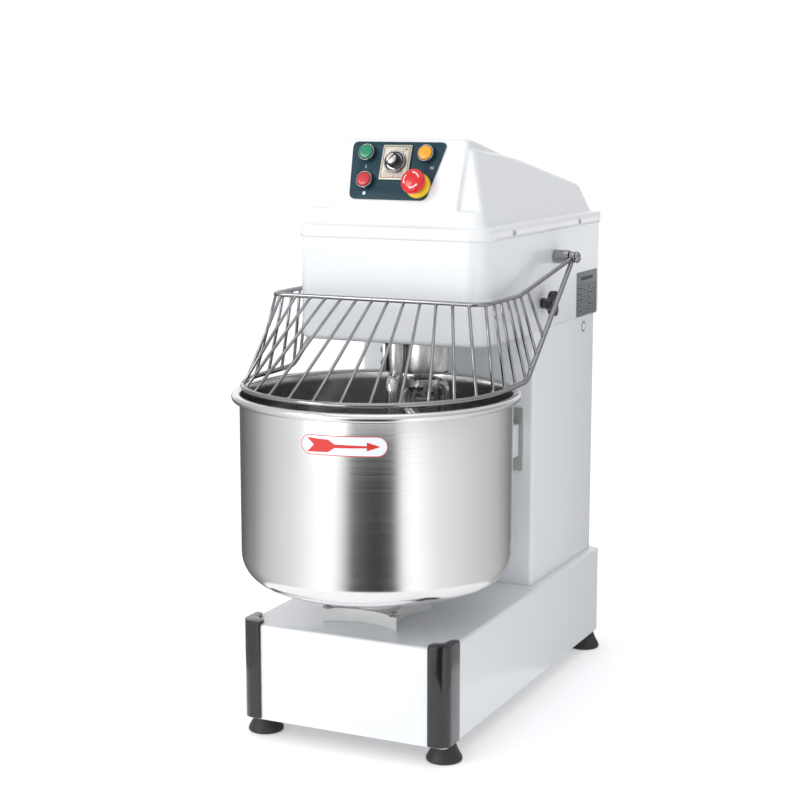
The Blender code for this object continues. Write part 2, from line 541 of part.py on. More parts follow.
pts = [(0.006 * math.cos(math.radians(-110)), 0.006 * math.sin(math.radians(-110)), HOOK_TOP)] + [swirl(i, 26) for i in range(27)]
hook = solid(tube("spiral_hook", pts, BAR, 3, STEEL, (*SPIN, 0)))
ang = math.radians(163)
ARM_Z = 0.4890
LEG = (0.032 * math.cos(math.radians(40)), 0.032 * math.sin(math.radians(40)))
foot_end = swirl(26, 26)
leg = solid(tube("c_leg", [(0.006 * math.cos(0.70), 0.006 * math.sin(0.70), ARM_Z), (LEG[0] * 0.86, LEG[1] * 0.86, ARM_Z),
                           (LEG[0] * 0.97, LEG[1] * 0.97, ARM_Z - 0.004), (LEG[0], LEG[1], ARM_Z - 0.012),
                           (LEG[0], LEG[1], HOOK_BOT + 0.020), (LEG[0] * 0.93, LEG[1] * 0.93, HOOK_BOT + 0.006),
                           (LEG[0] * 0.70, LEG[1] * 0.70, HOOK_BOT), (0, 0, HOOK_BOT),
                           (foot_end[0] * 0.8, foot_end[1] * 0.8, HOOK_BOT), (foot_end[0] * 0.99, foot_end[1] * 0.99, HOOK_BOT)],
                 BAR * 0.9, 3, STEEL, (*SPIN, 0)))
cut(hook, leg, "UNION")
cut(hook, cyl("c_hub", 0.0240, 0.4680, 0.4995, STEEL, (*SPIN, 0), segs=24), "UNION")

bx, by, px, py_ = BREAK[0], BREAK[1], POST[0], POST[1]
bar = solid(tube("breaker_bar", [(px + (bx - px) * 0.03, py_ + (by - py_) * 0.03, 0.5070), (px + (bx - px) * 0.84, py_ + (by - py_) * 0.84, 0.5070),
                                 (px + (bx - px) * 0.97, py_ + (by - py_) * 0.97, 0.5040), (bx, by, 0.4950), (bx, by, 0.2200)],
                 0.0088, 4, STEEL))
cut(bar, lathe("c_post", [(0, HEAD_Z0 - GAP), (0.0110, HEAD_Z0 - GAP), (0.0110, 0.4985), (0.0098, 0.4973), (0, 0.4973)], STEEL, (*POST, 0), steps=20), "UNION")
box("breaker_bracket", (px - 0.0110 - GAP - 0.005, py_ - 0.014, 0.5130), (px - 0.0110 - GAP, py_ + 0.014, HEAD_Z0 - GAP), STEEL, 0.0012, 1)
for z, w in ((0.5250, "lower"), (0.5450, "upper")):
    lathe("breaker_nut_" + w, [(0, 0.0085), (0.0035, 0.0078), (0.0058, 0.0052), (0.0064, 0.0), (0, 0.0)], CHROME,
          (px - 0.0160 - 2 * GAP, py_, z), XROT_L, 14)

# ------------------------------------------------------------------ drive in the column
lathe("main_shaft", [(0, 0.6600), (0.0125, 0.6600), (0.0125, 0.0480), (0, 0.0480)], MACHINED, (*SHAFT, 0), steps=20)
gb = box("gearbox", (-0.070, 0.378, BASE_H + GAP), (0.070, 0.628, 0.262), CAST, 0.006, 2)
cut(gb, cyl("c_gb_boss", 0.034, 0.200, 0.285, CAST, (*SHAFT, 0), segs=24), "UNION")
cut(gb, cyl("c_gb_bore", 0.0129, 0.12, 0.32, CAST, (*SHAFT, 0), segs=20))
star = []
for i in range(28):
    a = 2 * math.pi * i / 28
    for f, r in ((-0.12, 0.0600), (0.12, 0.0600), (0.2, 0.0540), (0.8, 0.0540)):
        star.append((r * math.cos(a + f * 2 * math.pi / 28), r * math.sin(a + f * 2 * math.pi / 28)))
prism("motor_housing", [star, circle(0.0085, 16)], 0.1900, CAST, (*MOTOR, 0.2625 + 0.095))
lathe("motor_fan_cowl", [(0.0620, 0.5100), (0.0640, 0.5080), (0.0640, 0.4530), (0.0625, 0.4530), (0.0625, 0.5060), (0.0300, 0.5060),
                         (0.0300, 0.5100)], CAST, (*MOTOR, 0), steps=24, closed=True)
fan = cyl("motor_fan", 0.0080, 0.2700, 0.4900, BLACK, (*MOTOR, 0), segs=16)
cut(fan, cyl("c_fan_disc", 0.0500, 0.4620, 0.4650, BLACK, (*MOTOR, 0), segs=24), "UNION")
for k in range(4):
    cut(fan, box(f"c_blade_{k}", (-0.0480, -0.0012, 0.4640), (0.0480, 0.0012, 0.4880), BLACK, loc=(*MOTOR, 0), rot=(0, 0, math.pi * k / 4)), "UNION")
cy = lathe("cable_gland", [(0.0058, 0.0180), (0.0095, 0.0165), (0.0105, 0.0060), (0.0120, 0.0060), (0.0120, GAP), (0.0078, GAP),
                           (0.0078, -0.0120), (0.0045, -0.0120), (0.0045, 0.0180)], BLACK,
           (0.105, BASE_D, 0.075), (-HALF, 0, 0), 16, closed=True)

# ------------------------------------------------------------------ bowl guide on the column front
box("bowl_guide_plate", (-0.133, COL_Y0 - GAP - 0.003, 0.3345), (0.133, COL_Y0 - GAP, 0.4355), STEEL, 0.0008, 1)
for sx, tag in ((-1, "left"), (1, "right")):
    p = box("bowl_guide_pad_" + tag, (0.1020 if sx > 0 else -0.1280, 0.2400, 0.3590), (0.1280 if sx > 0 else -0.1020, COL_Y0 - 2 * GAP - 0.003, 0.4110), NYLON)
    cut(p, cyl("c_pad_" + tag, BOWL_R + 0.0010, 0.30, 0.45, NYLON, (0, BOWL_Y, 0), segs=120))

# ------------------------------------------------------------------ guard
for sx, tag in ((-1, "left"), (1, "right")):
    lathe("guard_pivot_" + tag, [(0, 0.2005), (0.0050, 0.1998), (0.0088, 0.1965), (0.0094, 0.1935), (0.0040, 0.1935), (0.0040, 0.1825),
                                 (0.0110, 0.1825), (0.0110, 0.1574), (0.0065, 0.1574), (0.0065, 0.1480), (0, 0.1480)], CHROME,
          (0, *PIVOT), XROT if sx > 0 else XROT_L, 20)
W_UP, W_LOW, R_LOW = 0.174, 0.197, 0.197
ZU, ZL, YU = 0.628, 0.503, 0.098
py, pz = PIVOT


def up_half():
    pts = [(0.152, YU, ZU)] + [(x, y, ZU) for x, y in arc(W_UP - 0.022, YU + 0.022, 0.022, -90, 0, 4)][1:]
    return pts + [(W_UP, 0.232, ZU), (W_UP + 0.0003, 0.240, ZU + 0.0010), (0.1845, py - 0.040, pz - 0.009), (0.1880, py - 0.004, pz - 0.0010)]


def low_half():
    pts = [(x, y, ZL) for x, y in arc(0, BOWL_Y, R_LOW, -90, 0, 12)][1:]
    return pts + [(W_LOW, 0.197, ZL), (W_LOW, 0.208, ZL + 0.0030), (W_LOW - 0.0010, 0.216, ZL + 0.0090), (0.1890, py - 0.018, pz - 0.022), (0.1880, py - 0.003, pz - 0.004)]


def both(half, mid):
    return [(-x, y, z) for x, y, z in reversed(half)] + mid + half


def rel(pts):
    return [(x, y - py, z - pz) for x, y, z in pts]


WIRE, ROD = 0.0036, 0.0024
upper = both(up_half(), [])
lower = both(low_half(), [(0, BOWL_Y - R_LOW, ZL)])
guard = solid(tube("bowl_guard", rel(lower), WIRE + 0.0004, 1, CHROME, (0, py, pz)))
cut(guard, solid(tube("c_upper_wire", rel(upper), WIRE, 1, CHROME, (0, py, pz))), "UNION")


def along(path, s):
    """Point at distance s from the middle of a wire, counted along it to the right."""
    pts = [Vector((0, path[0][1], path[0][2]))] + [Vector(p) for p in path]
    for a, b in zip(pts, pts[1:]):
        d = (b - a).length
        if s <= d:
            return a + (b - a) * (s / d)
        s -= d
    return pts[-1]


U_HALF, L_HALF = up_half(), [(0, BOWL_Y - R_LOW, ZL)] + low_half()
def signed(path, s):
    p = along(path, abs(s))
    return Vector((math.copysign(p.x, s), p.y - py, p.z - pz))


rods = bmesh.new()
for k in range(-11, 14):
    a, b = signed(U_HALF, 0.0255 * k - 0.028), signed(L_HALF[1:], 0.0414 * k - 0.003)
    d = b - a
    rot = d.to_track_quat("Z", "Y").to_matrix().to_4x4()
    bmesh.ops.create_cone(rods, cap_ends=True, segments=6, radius1=ROD, radius2=ROD, depth=d.length,
                          matrix=Matrix.Translation((a + b) / 2) @ rot)
cut(guard, put("c_rods", to_mesh(rods, "c_rods"), CHROME, (0, py, pz)), "UNION")
for sx, tag in ((-1, "l"), (1, "r")):
    cut(guard, cyl("c_eye_" + tag, 0.0090, 0.1832, 0.1928, CHROME, (0, py, pz), XROT if sx > 0 else XROT_L, 16), "UNION")
for sx, tag in ((-1, "l"), (1, "r")):
    cut(guard, cyl("c_eyehole_" + tag, 0.0044, 0.1700, 0.2050, CHROME, (0, py, pz), XROT if sx > 0 else XROT_L, 16))

# ------------------------------------------------------------------ side clamp knob, three lobes
lobes = []
for i in range(36):
    a = 2 * math.pi * i / 36
    r = 0.0165 + 0.0055 * math.cos(3 * a)
    lobes.append((r * math.cos(a + 0.5), r * math.sin(a + 0.5)))
kn = solid(prism("clamp_knob", [lobes], 0.0140, BLACK, (0.1575 + 0.0100 + 0.0070, 0.372, 0.602), XROT))
b = kn.modifiers.new("round", "BEVEL")
b.width, b.segments, b.limit_method, b.angle_limit = 0.0020, 1, "ANGLE", math.radians(60)
cut(kn, cyl("c_knob_neck", 0.0085, 0.1575, 0.1700, BLACK, (0, 0.372, 0.602), XROT, 18), "UNION")
cut(kn, cyl("c_knob_stud", 0.0040, 0.1400, 0.1700, BLACK, (0, 0.372, 0.602), XROT, 12), "UNION")
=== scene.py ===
import bpy
import bmesh
import math
from mathutils import Vector, Matrix


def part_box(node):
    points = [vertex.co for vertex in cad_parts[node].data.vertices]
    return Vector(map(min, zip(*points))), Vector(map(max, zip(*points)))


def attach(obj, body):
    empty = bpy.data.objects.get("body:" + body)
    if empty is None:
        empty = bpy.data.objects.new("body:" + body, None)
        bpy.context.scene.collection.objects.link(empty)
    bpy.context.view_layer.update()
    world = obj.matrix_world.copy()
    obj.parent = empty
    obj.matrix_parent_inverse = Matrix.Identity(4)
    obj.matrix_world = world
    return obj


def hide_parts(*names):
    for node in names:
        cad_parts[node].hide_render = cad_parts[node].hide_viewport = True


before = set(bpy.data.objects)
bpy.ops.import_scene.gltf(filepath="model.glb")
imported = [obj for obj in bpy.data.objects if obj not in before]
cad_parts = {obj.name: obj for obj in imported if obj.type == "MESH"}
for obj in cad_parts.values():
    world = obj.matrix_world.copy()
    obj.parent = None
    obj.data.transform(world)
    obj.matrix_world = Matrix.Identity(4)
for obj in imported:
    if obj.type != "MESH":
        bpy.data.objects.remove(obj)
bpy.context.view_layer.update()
HALF = math.pi / 2

# local datum: bottom of the base box at mid width, 10 mm behind its front face
_lo, _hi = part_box("base_housing")
BASE_Y0 = -0.010
YS, ZS = _lo.y - BASE_Y0, _lo.z
BASE_W, BASE_D, BASE_H = _hi.x - _lo.x, _hi.y - YS, _hi.z - _lo.z
_lo, _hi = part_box("column_housing")
COL_X, COL_Y0, COL_Y1, COL_Z1 = _hi.x, _lo.y - YS, _hi.y - YS, _hi.z - ZS
_lo, _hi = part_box("head_housing")
HEAD_X, HEAD_Y0, HEAD_Y1, HEAD_Z0, HEAD_Z1 = _hi.x, _lo.y - YS, _hi.y - YS, _lo.z - ZS, _hi.z - ZS
_lo, _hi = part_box("bowl")
BOWL_Y = (_lo.y + _hi.y) / 2 - YS
RIM_OUT, BOWL_Z0 = _hi.x, _lo.z - ZS
_lo, _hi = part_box("head_cover")
COVER_TOP = _hi.z - ZS
D = Vector((0, YS, ZS))

# ------------------------------------------------------------------ materials
def nodes_of(name):
    m = bpy.data.materials.new(name)
    m.use_nodes = True
    t = m.node_tree
    return m, t, t.nodes["Principled BSDF"]


def add(t, kind, **vals):
    n = t.nodes.new(kind)
    for k, v in vals.items():
        if k.startswith("in_"):
            n.inputs[k[3:].replace("_", " ")].default_value = v
        else:
            setattr(n, k, v)
    return n


def coords(t, scale=(1, 1, 1)):
    tc = add(t, "ShaderNodeTexCoord")
    mp = add(t, "ShaderNodeMapping")
    mp.inputs["Scale"].default_value = scale
    t.links.new(tc.outputs["Object"], mp.inputs["Vector"])
    return mp.outputs["Vector"]


def ramp(t, fac, stops):
    r = add(t, "ShaderNodeValToRGB")
    el = r.color_ramp.elements
    while len(el) < len(stops):
        el.new(0.5)
    for e, (p, c) in zip(el, stops):
        e.position, e.color = p, (*c, 1) if len(c) == 3 else c
    t.links.new(fac, r.inputs["Fac"])
    return r.outputs["Color"]


def val_ramp(t, fac, a, b, lo=0.3, hi=0.7):
    mr = add(t, "ShaderNodeMapRange")
    for k, v in (("From Min", lo), ("From Max", hi), ("To Min", a), ("To Max", b)):
        mr.inputs[k].default_value = v
    t.links.new(fac, mr.inputs["Value"])
    return mr.outputs["Result"]


def bump(t, b, height, strength, dist):
    n = add(t, "ShaderNodeBump")
    n.inputs["Strength"].default_value = strength
    n.inputs["Distance"].default_value = dist
    t.links.new(height, n.inputs["Height"])
    t.links.new(n.outputs["Normal"], b.inputs["Normal"])


def paint(name, rgb, rough=0.28, peel=0.10, coat=0.35, dirt=0.03):
    """Enamel or gel coat: faint orange peel, slow drift of tone, a clear top layer."""
    m, t, b = nodes_of(name)
    v = coords(t)
    slow = add(t, "ShaderNodeTexNoise", in_Scale=5.0, in_Detail=3.0)
    fine = add(t, "ShaderNodeTexNoise", in_Scale=420.0, in_Detail=2.0)
    t.links.new(v, slow.inputs["Vector"])
    t.links.new(v, fine.inputs["Vector"])
    dark = tuple(c * (1 - dirt) for c in rgb)
    t.links.new(ramp(t, slow.outputs["Fac"], [(0.0, dark), (1.0, rgb)]), b.inputs["Base Color"])
    t.links.new(val_ramp(t, slow.outputs["Fac"], rough * 0.96, rough * 1.04), b.inputs["Roughness"])
    b.inputs["Coat Weight"].default_value = coat
    b.inputs["Coat Roughness"].default_value = 0.12
    b.inputs["Specular IOR Level"].default_value = 0.5
    bump(t, b, fine.outputs["Fac"], peel, 0.0004)
    return m


def metal(name, rgb, rough, streak=(1, 1, 1), amount=0.06, aniso=0.0, scale=220.0, wear=0.05, bumpy=0.05):
    """Bare metal with a brushed or drawn grain that runs along the axis with the smallest scale."""
    m, t, b = nodes_of(name)
    v = coords(t, streak)
    grain = add(t, "ShaderNodeTexNoise", in_Scale=scale, in_Detail=4.0, in_Roughness=0.6)
    t.links.new(v, grain.inputs["Vector"])
    slow = add(t, "ShaderNodeTexNoise", in_Scale=9.0, in_Detail=2.0)
    t.links.new(coords(t), slow.inputs["Vector"])
    dark = tuple(c * (1 - wear) for c in rgb)
    t.links.new(ramp(t, slow.outputs["Fac"], [(0.3, dark), (0.7, rgb)]), b.inputs["Base Color"])
    b.inputs["Metallic"].default_value = 1.0
    t.links.new(val_ramp(t, grain.outputs["Fac"], max(0.02, rough - amount), rough + amount), b.inputs["Roughness"])
    if aniso:
        b.inputs["Anisotropic"].default_value = aniso
    bump(t, b, grain.outputs["Fac"], bumpy, 0.0003)
    return m


def plastic(name, rgb, rough, spec=0.5, grain=600.0, deep=0.15, coat=0.0, vary=0.12):
    m, t, b = nodes_of(name)
    v = coords(t)
    n = add(t, "ShaderNodeTexNoise", in_Scale=grain, in_Detail=3.0)
    t.links.new(v, n.inputs["Vector"])
    slow = add(t, "ShaderNodeTexNoise", in_Scale=22.0, in_Detail=2.0)
    t.links.new(v, slow.inputs["Vector"])
    dark = tuple(c * (1 - vary) for c in rgb)
    t.links.new(ramp(t, slow.outputs["Fac"], [(0.3, dark), (0.7, rgb)]), b.inputs["Base Color"])
    t.links.new(val_ramp(t, n.outputs["Fac"], rough * 0.85, rough * 1.15), b.inputs["Roughness"])
    b.inputs["Specular IOR Level"].default_value = spec
    b.inputs["Coat Weight"].default_value = coat
    b.inputs["Coat Roughness"].default_value = 0.06
    bump(t, b, n.outputs["Fac"], deep, 0.0002)
    return m


def tangential_metal(name, rgb, rough):
    """Spun stainless: grain lines run round the Z axis, so the noise is stretched by height and radius only."""
    m, t, b = nodes_of(name)
    tc = add(t, "ShaderNodeTexCoord")
    sep = add(t, "ShaderNodeSeparateXYZ")
    t.links.new(tc.outputs["Object"], sep.inputs["Vector"])
    rad = add(t, "ShaderNodeMath", operation="POWER")
    r2 = add(t, "ShaderNodeMath", operation="MULTIPLY_ADD")
    t.links.new(sep.outputs["X"], r2.inputs[0])
    t.links.new(sep.outputs["X"], r2.inputs[1])
    y2 = add(t, "ShaderNodeMath", operation="MULTIPLY")
    t.links.new(sep.outputs["Y"], y2.inputs[0])
    t.links.new(sep.outputs["Y"], y2.inputs[1])
    t.links.new(y2.outputs[0], r2.inputs[2])
    t.links.new(r2.outputs[0], rad.inputs[0])
    rad.inputs[1].default_value = 0.5
    com = add(t, "ShaderNodeCombineXYZ")
    t.links.new(rad.outputs[0], com.inputs["X"])
    t.links.new(sep.outputs["Z"], com.inputs["Z"])
    g = add(t, "ShaderNodeTexNoise", in_Scale=900.0, in_Detail=3.0)
    t.links.new(com.outputs["Vector"], g.inputs["Vector"])
    slow = add(t, "ShaderNodeTexNoise", in_Scale=6.0, in_Detail=2.0)
    t.links.new(tc.outputs["Object"], slow.inputs["Vector"])
    t.links.new(ramp(t, slow.outputs["Fac"], [(0.3, tuple(c * 0.96 for c in rgb)), (0.7, rgb)]), b.inputs["Base Color"])
    b.inputs["Metallic"].default_value = 1.0
    t.links.new(val_ramp(t, g.outputs["Fac"], rough - 0.05, rough + 0.06), b.inputs["Roughness"])
    b.inputs["Anisotropic"].default_value = 0.35
    bump(t, b, g.outputs["Fac"], 0.10, 0.0002)
    return m


M_WHITE = paint("white_enamel", (0.80, 0.82, 0.845), 0.26, 0.08, 0.4)
M_COVER = paint("white_gel_coat", (0.84, 0.855, 0.87), 0.22, 0.05, 0.5, 0.02)
M_HUB = paint("white_casting", (0.78, 0.79, 0.79), 0.38, 0.25, 0.15, 0.05)
M_BOWL = tangential_metal("spun_stainless", (0.80, 0.797, 0.79), 0.17)
M_STEEL = metal("satin_stainless", (0.64, 0.64, 0.64), 0.24, (1, 1, 0.05), 0.07, 0.0, 260.0)
M_PLATE = metal("rolled_stainless", (0.46, 0.48, 0.47), 0.34, (0.05, 1, 1), 0.08, 0.0, 300.0)
M_CHROME = metal("bright_chrome", (0.36, 0.36, 0.37), 0.07, (1, 1, 1), 0.03, 0.0, 90.0, 0.06, 0.01)
M_HOOK = metal("forged_stainless", (0.50, 0.50, 0.50), 0.27, (1, 1, 0.2), 0.08, 0.0, 180.0, 0.12, 0.08)
M_RUBBER = plastic("black_rubber", (0.035, 0.035, 0.037), 0.52, 0.4, 380.0, 0.35, 0.0, 0.25)
M_BLACK = plastic("gloss_black", (0.010, 0.010, 0.011), 0.16, 0.5, 700.0, 0.05, 0.4, 0.2)
M_KNOB = plastic("black_bakelite", (0.012, 0.012, 0.013), 0.28, 0.5, 500.0, 0.12, 0.2, 0.2)
M_PANEL = plastic("panel_film", (0.014, 0.048, 0.068), 0.40, 0.22, 900.0, 0.12, 0.0, 0.07)
M_MARK = plastic("white_print", (0.74, 0.78, 0.80), 0.45, 0.3, 400.0, 0.05, 0.0, 0.04)
M_TIMER = metal("champagne_anodised", (0.52, 0.48, 0.41), 0.36, (0.08, 1, 1), 0.06, 0.0, 500.0)
M_DIAL = metal("dial_silver", (0.66, 0.65, 0.63), 0.22, (1, 1, 1), 0.05, 0.0, 300.0)
M_GREEN = plastic("green_lens", (0.0, 0.235, 0.115), 0.24, 0.5, 800.0, 0.05, 0.35, 0.08)
M_AMBER = plastic("amber_lens", (0.90, 0.36, 0.0), 0.24, 0.5, 800.0, 0.05, 0.35, 0.06)
M_RED = plastic("red_lens", (0.56, 0.012, 0.020), 0.24, 0.5, 800.0, 0.05, 0.35, 0.08)
M_ESTOP = plastic("mushroom_red", (0.70, 0.006, 0.012), 0.22, 0.5, 800.0, 0.04, 0.4, 0.06)
M_YELLOW = plastic("collar_yellow", (0.90, 0.60, 0.0), 0.30, 0.5, 800.0, 0.05, 0.25, 0.06)
M_ARROW = plastic("arrow_print", (0.82, 0.80, 0.80), 0.4, 0.3, 500.0, 0.04, 0.0, 0.03)
M_NYLON = plastic("white_nylon", (0.70, 0.74, 0.73), 0.42, 0.4, 240.0, 0.20, 0.0, 0.06)
M_LABEL_RED = plastic("label_red", (0.66, 0.028, 0.022), 0.36, 0.4, 500.0, 0.03, 0.1, 0.05)
M_LABEL = plastic("label_white", (0.80, 0.83, 0.88), 0.34, 0.4, 500.0, 0.03, 0.15, 0.03)
M_RATING = metal("rating_foil", (0.30, 0.31, 0.33), 0.42, (0.08, 1, 1), 0.06, 0.0, 400.0)
M_CAST = paint("motor_enamel", (0.20, 0.23, 0.26), 0.5, 0.45, 0.05, 0.15)
M_MACH = metal("machined_steel", (0.42, 0.42, 0.43), 0.30, (1, 1, 0.1), 0.08, 0.0, 320.0)
M_CHAIN = metal("oiled_steel", (0.17, 0.16, 0.15), 0.38, (1, 1, 1), 0.10, 0.0, 150.0, 0.2, 0.2)


# ------------------------------------------------------------------ mesh tools
def finish_bm(bm, name):
    me = bpy.data.meshes.new(name)
    bm.normal_update()
    bmesh.ops.recalc_face_normals(bm, faces=bm.faces)
    bm.to_mesh(me)
    bm.free()
    return me


def piece(name, me, mat, body="frame", nodes=(), at=(0, 0, 0), rot=None, smooth=35, show=True):
    o = bpy.data.objects.new(name, me)
    bpy.context.scene.collection.objects.link(o)
    if not len(me.materials):
        me.materials.append(mat)
    if smooth:
        me.shade_smooth()
        me.set_sharp_from_angle(angle=math.radians(smooth))
    m = Matrix.Translation(Vector(at) + D)
    if rot is not None:
        m = m @ (rot if isinstance(rot, Matrix) else Matrix.Rotation(rot[0], 4, rot[1]))
    o.matrix_world = m
    if show:
        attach(o, body)
        if nodes:
            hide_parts(*nodes)
    return o


def soften(o, width, segs=3, angle=35):
    b = o.modifiers.new("round", "BEVEL")
    b.width, b.segments, b.limit_method, b.angle_limit = width, segs, "ANGLE", math.radians(angle)
    b.harden_normals = False
    n = o.modifiers.new("flat", "WEIGHTED_NORMAL")
    n.keep_sharp = True
    return o


def box_bm(lo, hi):
    bm = bmesh.new()
    bmesh.ops.create_cube(bm, size=1.0)
    bmesh.ops.scale(bm, vec=[b - a for a, b in zip(lo, hi)], verts=bm.verts)
    bmesh.ops.translate(bm, vec=[(a + b) / 2 for a, b in zip(lo, hi)], verts=bm.verts)
    return bm


def bevel_if(bm, pick, width, segs):
    bm.normal_update()
    es = [e for e in bm.edges if pick(e.verts[0].co, e.verts[1].co)]
    bmesh.ops.bevel(bm, geom=es, offset=width, segments=segs, affect="EDGES", profile=0.5, clamp_overlap=True)
    bm.normal_update()


def upright(a, b):
    return abs(a.x - b.x) < 1e-5 and abs(a.y - b.y) < 1e-5 and abs(a.z - b.z) > 1e-3


def lathe_me(name, prof, n=64, closed=False):
    """A profile of (radius, height) turned round Z. Points on the axis become one vertex."""
    bm = bmesh.new()
    rings = []
    for r, z in prof:
        if r < 1e-7:
            rings.append([bm.verts.new((0, 0, z))])
        else:
            rings.append([bm.verts.new((r * math.cos(2 * math.pi * i / n), r * math.sin(2 * math.pi * i / n), z)) for i in range(n)])
    pairs = list(zip(rings, rings[1:])) + ([(rings[-1], rings[0])] if closed else [])
    for a, b in pairs:
        for i in range(n):
            j = (i + 1) % n
            if len(a) == 1 and len(b) == 1:
                continue
            if len(a) == 1:
                bm.faces.new((a[0], b[j], b[i]))
            elif len(b) == 1:
                bm.faces.new((a[i], a[j], b[0]))
            else:
                bm.faces.new((a[i], a[j], b[j], b[i]))
    return finish_bm(bm, name)


def smooth_prof(pts, r=0.0008, n=3):
    """Rounds every inner corner of an open profile."""
    out = [pts[0]]
    for a, b, c in zip(pts, pts[1:], pts[2:]):
        A, B, C = Vector(a), Vector(b), Vector(c)
        u, w = A - B, C - B
        if u.length < 1e-9 or w.length < 1e-9:
            continue
        d = min(r, u.length * 0.45, w.length * 0.45)
        p, q = B + u.normalized() * d, B + w.normalized() * d
        for k in range(n + 1):
            s = k / n
            out.append(tuple(p * (1 - s) ** 2 + B * 2 * s * (1 - s) + q * s * s))
    return out + [pts[-1]]


def fillet(pts, r, n=6):
    out = [Vector(pts[0])]
    for a, b, c in zip(pts, pts[1:], pts[2:]):
        A, B, C = Vector(a), Vector(b), Vector(c)
        u, w = (A - B), (C - B)
        d = min(r, u.length * 0.49, w.length * 0.49)
        p, q = B + u.normalized() * d, B + w.normalized() * d
        for k in range(n + 1):
            s = k / n
            out.append(p * (1 - s) ** 2 + B * 2 * s * (1 - s) + q * s * s)
    out.append(Vector(pts[-1]))
    return out


def sweep_bm(bm, pts, radius, sides=12, caps=True, dome=0.35, radii=None):
    """A round bar along a path, with slightly domed ends, its section carried without twist."""
    pts = [Vector(p) for p in pts]
    keep = [pts[0]]
    rad = [radii[0] if radii else radius]
    for i, p in enumerate(pts[1:], 1):
        if (p - keep[-1]).length > 1e-5:
            keep.append(p)
            rad.append(radii[i] if radii else radius)
    pts = keep
    t0 = (pts[1] - pts[0]).normalized()
    up = Vector((0, 0, 1)) if abs(t0.z) < 0.9 else Vector((1, 0, 0))
    nrm = (up - t0 * up.dot(t0)).normalized()
    rings = []
    prev = t0
    for i, p in enumerate(pts):
        if i == 0:
            t = t0
        elif i == len(pts) - 1:
            t = (pts[-1] - pts[-2]).normalized()
        else:
            t = ((pts[i] - pts[i - 1]).normalized() + (pts[i + 1] - pts[i]).normalized()).normalized()
        q = prev.rotation_difference(t)
        nrm = (q @ nrm).normalized()
        nrm = (nrm - t * nrm.dot(t)).normalized()
        bi = t.cross(nrm)
        prev = t
        rings.append([bm.verts.new(p + (nrm * math.cos(2 * math.pi * k / sides) + bi * math.sin(2 * math.pi * k / sides)) * rad[i])
                      for k in range(sides)])
    for a, b in zip(rings, rings[1:]):
        for k in range(sides):
            j = (k + 1) % sides
            bm.faces.new((a[k], a[j], b[j], b[k]))
    if caps:
        for ring, p, t, rr in ((rings[0], pts[0], -t0, rad[0]), (rings[-1], pts[-1], prev, rad[-1])):
            mid = [bm.verts.new(p + (v.co - p) * 0.62 + t * rr * dome * 0.75) for v in ring]
            tip = bm.verts.new(p + t * rr * dome)
            for k in range(sides):
                j = (k + 1) % sides
                bm.faces.new((ring[k], ring[j], mid[j], mid[k]))
                bm.faces.new((mid[k], mid[j], tip))
    return bm


def ball_bm(bm, at, r, flat=(1, 1, 1), u=10, v=7):
    bmesh.ops.create_uvsphere(bm, u_segments=u, v_segments=v, radius=r,
                              matrix=Matrix.Translation(at) @ Matrix.Diagonal((*flat, 1)))


def slab_me(name, outline, z0, z1, edge=0.0, holes=()):
    """A flat outline given thickness, with its upper edge eased."""
    c = bpy.data.curves.new(name, "CURVE")
    c.dimensions, c.fill_mode = "2D", "BOTH"
    c.extrude = (z1 - z0) / 2 - edge
    c.bevel_depth, c.bevel_resolution, c.offset = edge, 2, -edge
    for pts in [outline, *holes]:
        s = c.splines.new("POLY")
        s.points.add(len(pts) - 1)
        for p, (x, y) in zip(s.points, pts):
            p.co = (x, y, 0, 1)
        s.use_cyclic_u = True
    o = bpy.data.objects.new(name, c)
    bpy.context.scene.collection.objects.link(o)
    bpy.context.view_layer.update()
    me = bpy.data.meshes.new_from_object(o.evaluated_get(bpy.context.evaluated_depsgraph_get()))
    bpy.data.objects.remove(o)
    bpy.data.curves.remove(c)
    bm = bmesh.new()
    bm.from_mesh(me)
    bmesh.ops.remove_doubles(bm, verts=bm.verts, dist=1e-5)
    bmesh.ops.translate(bm, vec=(0, 0, (z0 + z1) / 2), verts=bm.verts)
    return finish_bm(bm, name)


def arc(cx, cy, r, a0, a1, n):
    return [(cx + r * math.cos(math.radians(a0 + (a1 - a0) * i / n)),
             cy + r * math.sin(math.radians(a0 + (a1 - a0) * i / n))) for i in range(n + 1)]


def round_poly(pts, r, n=6):
    out = []
    for i, p in enumerate(pts):
        a, b, c = Vector(pts[i - 1]), Vector(p), Vector(pts[(i + 1) % len(pts)])
        u, w = (a - b), (c - b)
        d = min(r, u.length * 0.45, w.length * 0.45)
        p0, q0 = b + u.normalized() * d, b + w.normalized() * d
        for k in range(n + 1):
            s = k / n
            out.append(tuple(p0 * (1 - s) ** 2 + b * 2 * s * (1 - s) + q0 * s * s))
    return out


def ring_pts(r, n, cx=0.0, cy=0.0, a0=0.0):
    return [(cx + r * math.cos(a0 + 2 * math.pi * i / n), cy + r * math.sin(a0 + 2 * math.pi * i / n)) for i in range(n)]


def baked(o):
    """The object's modifiers applied, so that the piece is one plain mesh."""
    bpy.context.view_layer.update()
    me = bpy.data.meshes.new_from_object(o.evaluated_get(bpy.context.evaluated_depsgraph_get()))
    o.modifiers.clear()
    o.data = me
    return o


def scratch(me):
    o = bpy.data.objects.new("scratch", me)
    bpy.context.scene.collection.objects.link(o)
    return o


def boolean(o, other, op="DIFFERENCE"):
    m = o.modifiers.new("bool", "BOOLEAN")
    m.operation, m.object, m.solver = op, other, "EXACT"
    baked(o)
    bpy.data.objects.remove(other)
    return o


XR = Matrix.Rotation(HALF, 4, "Y")
XL = Matrix.Rotation(-HALF, 4, "Y")


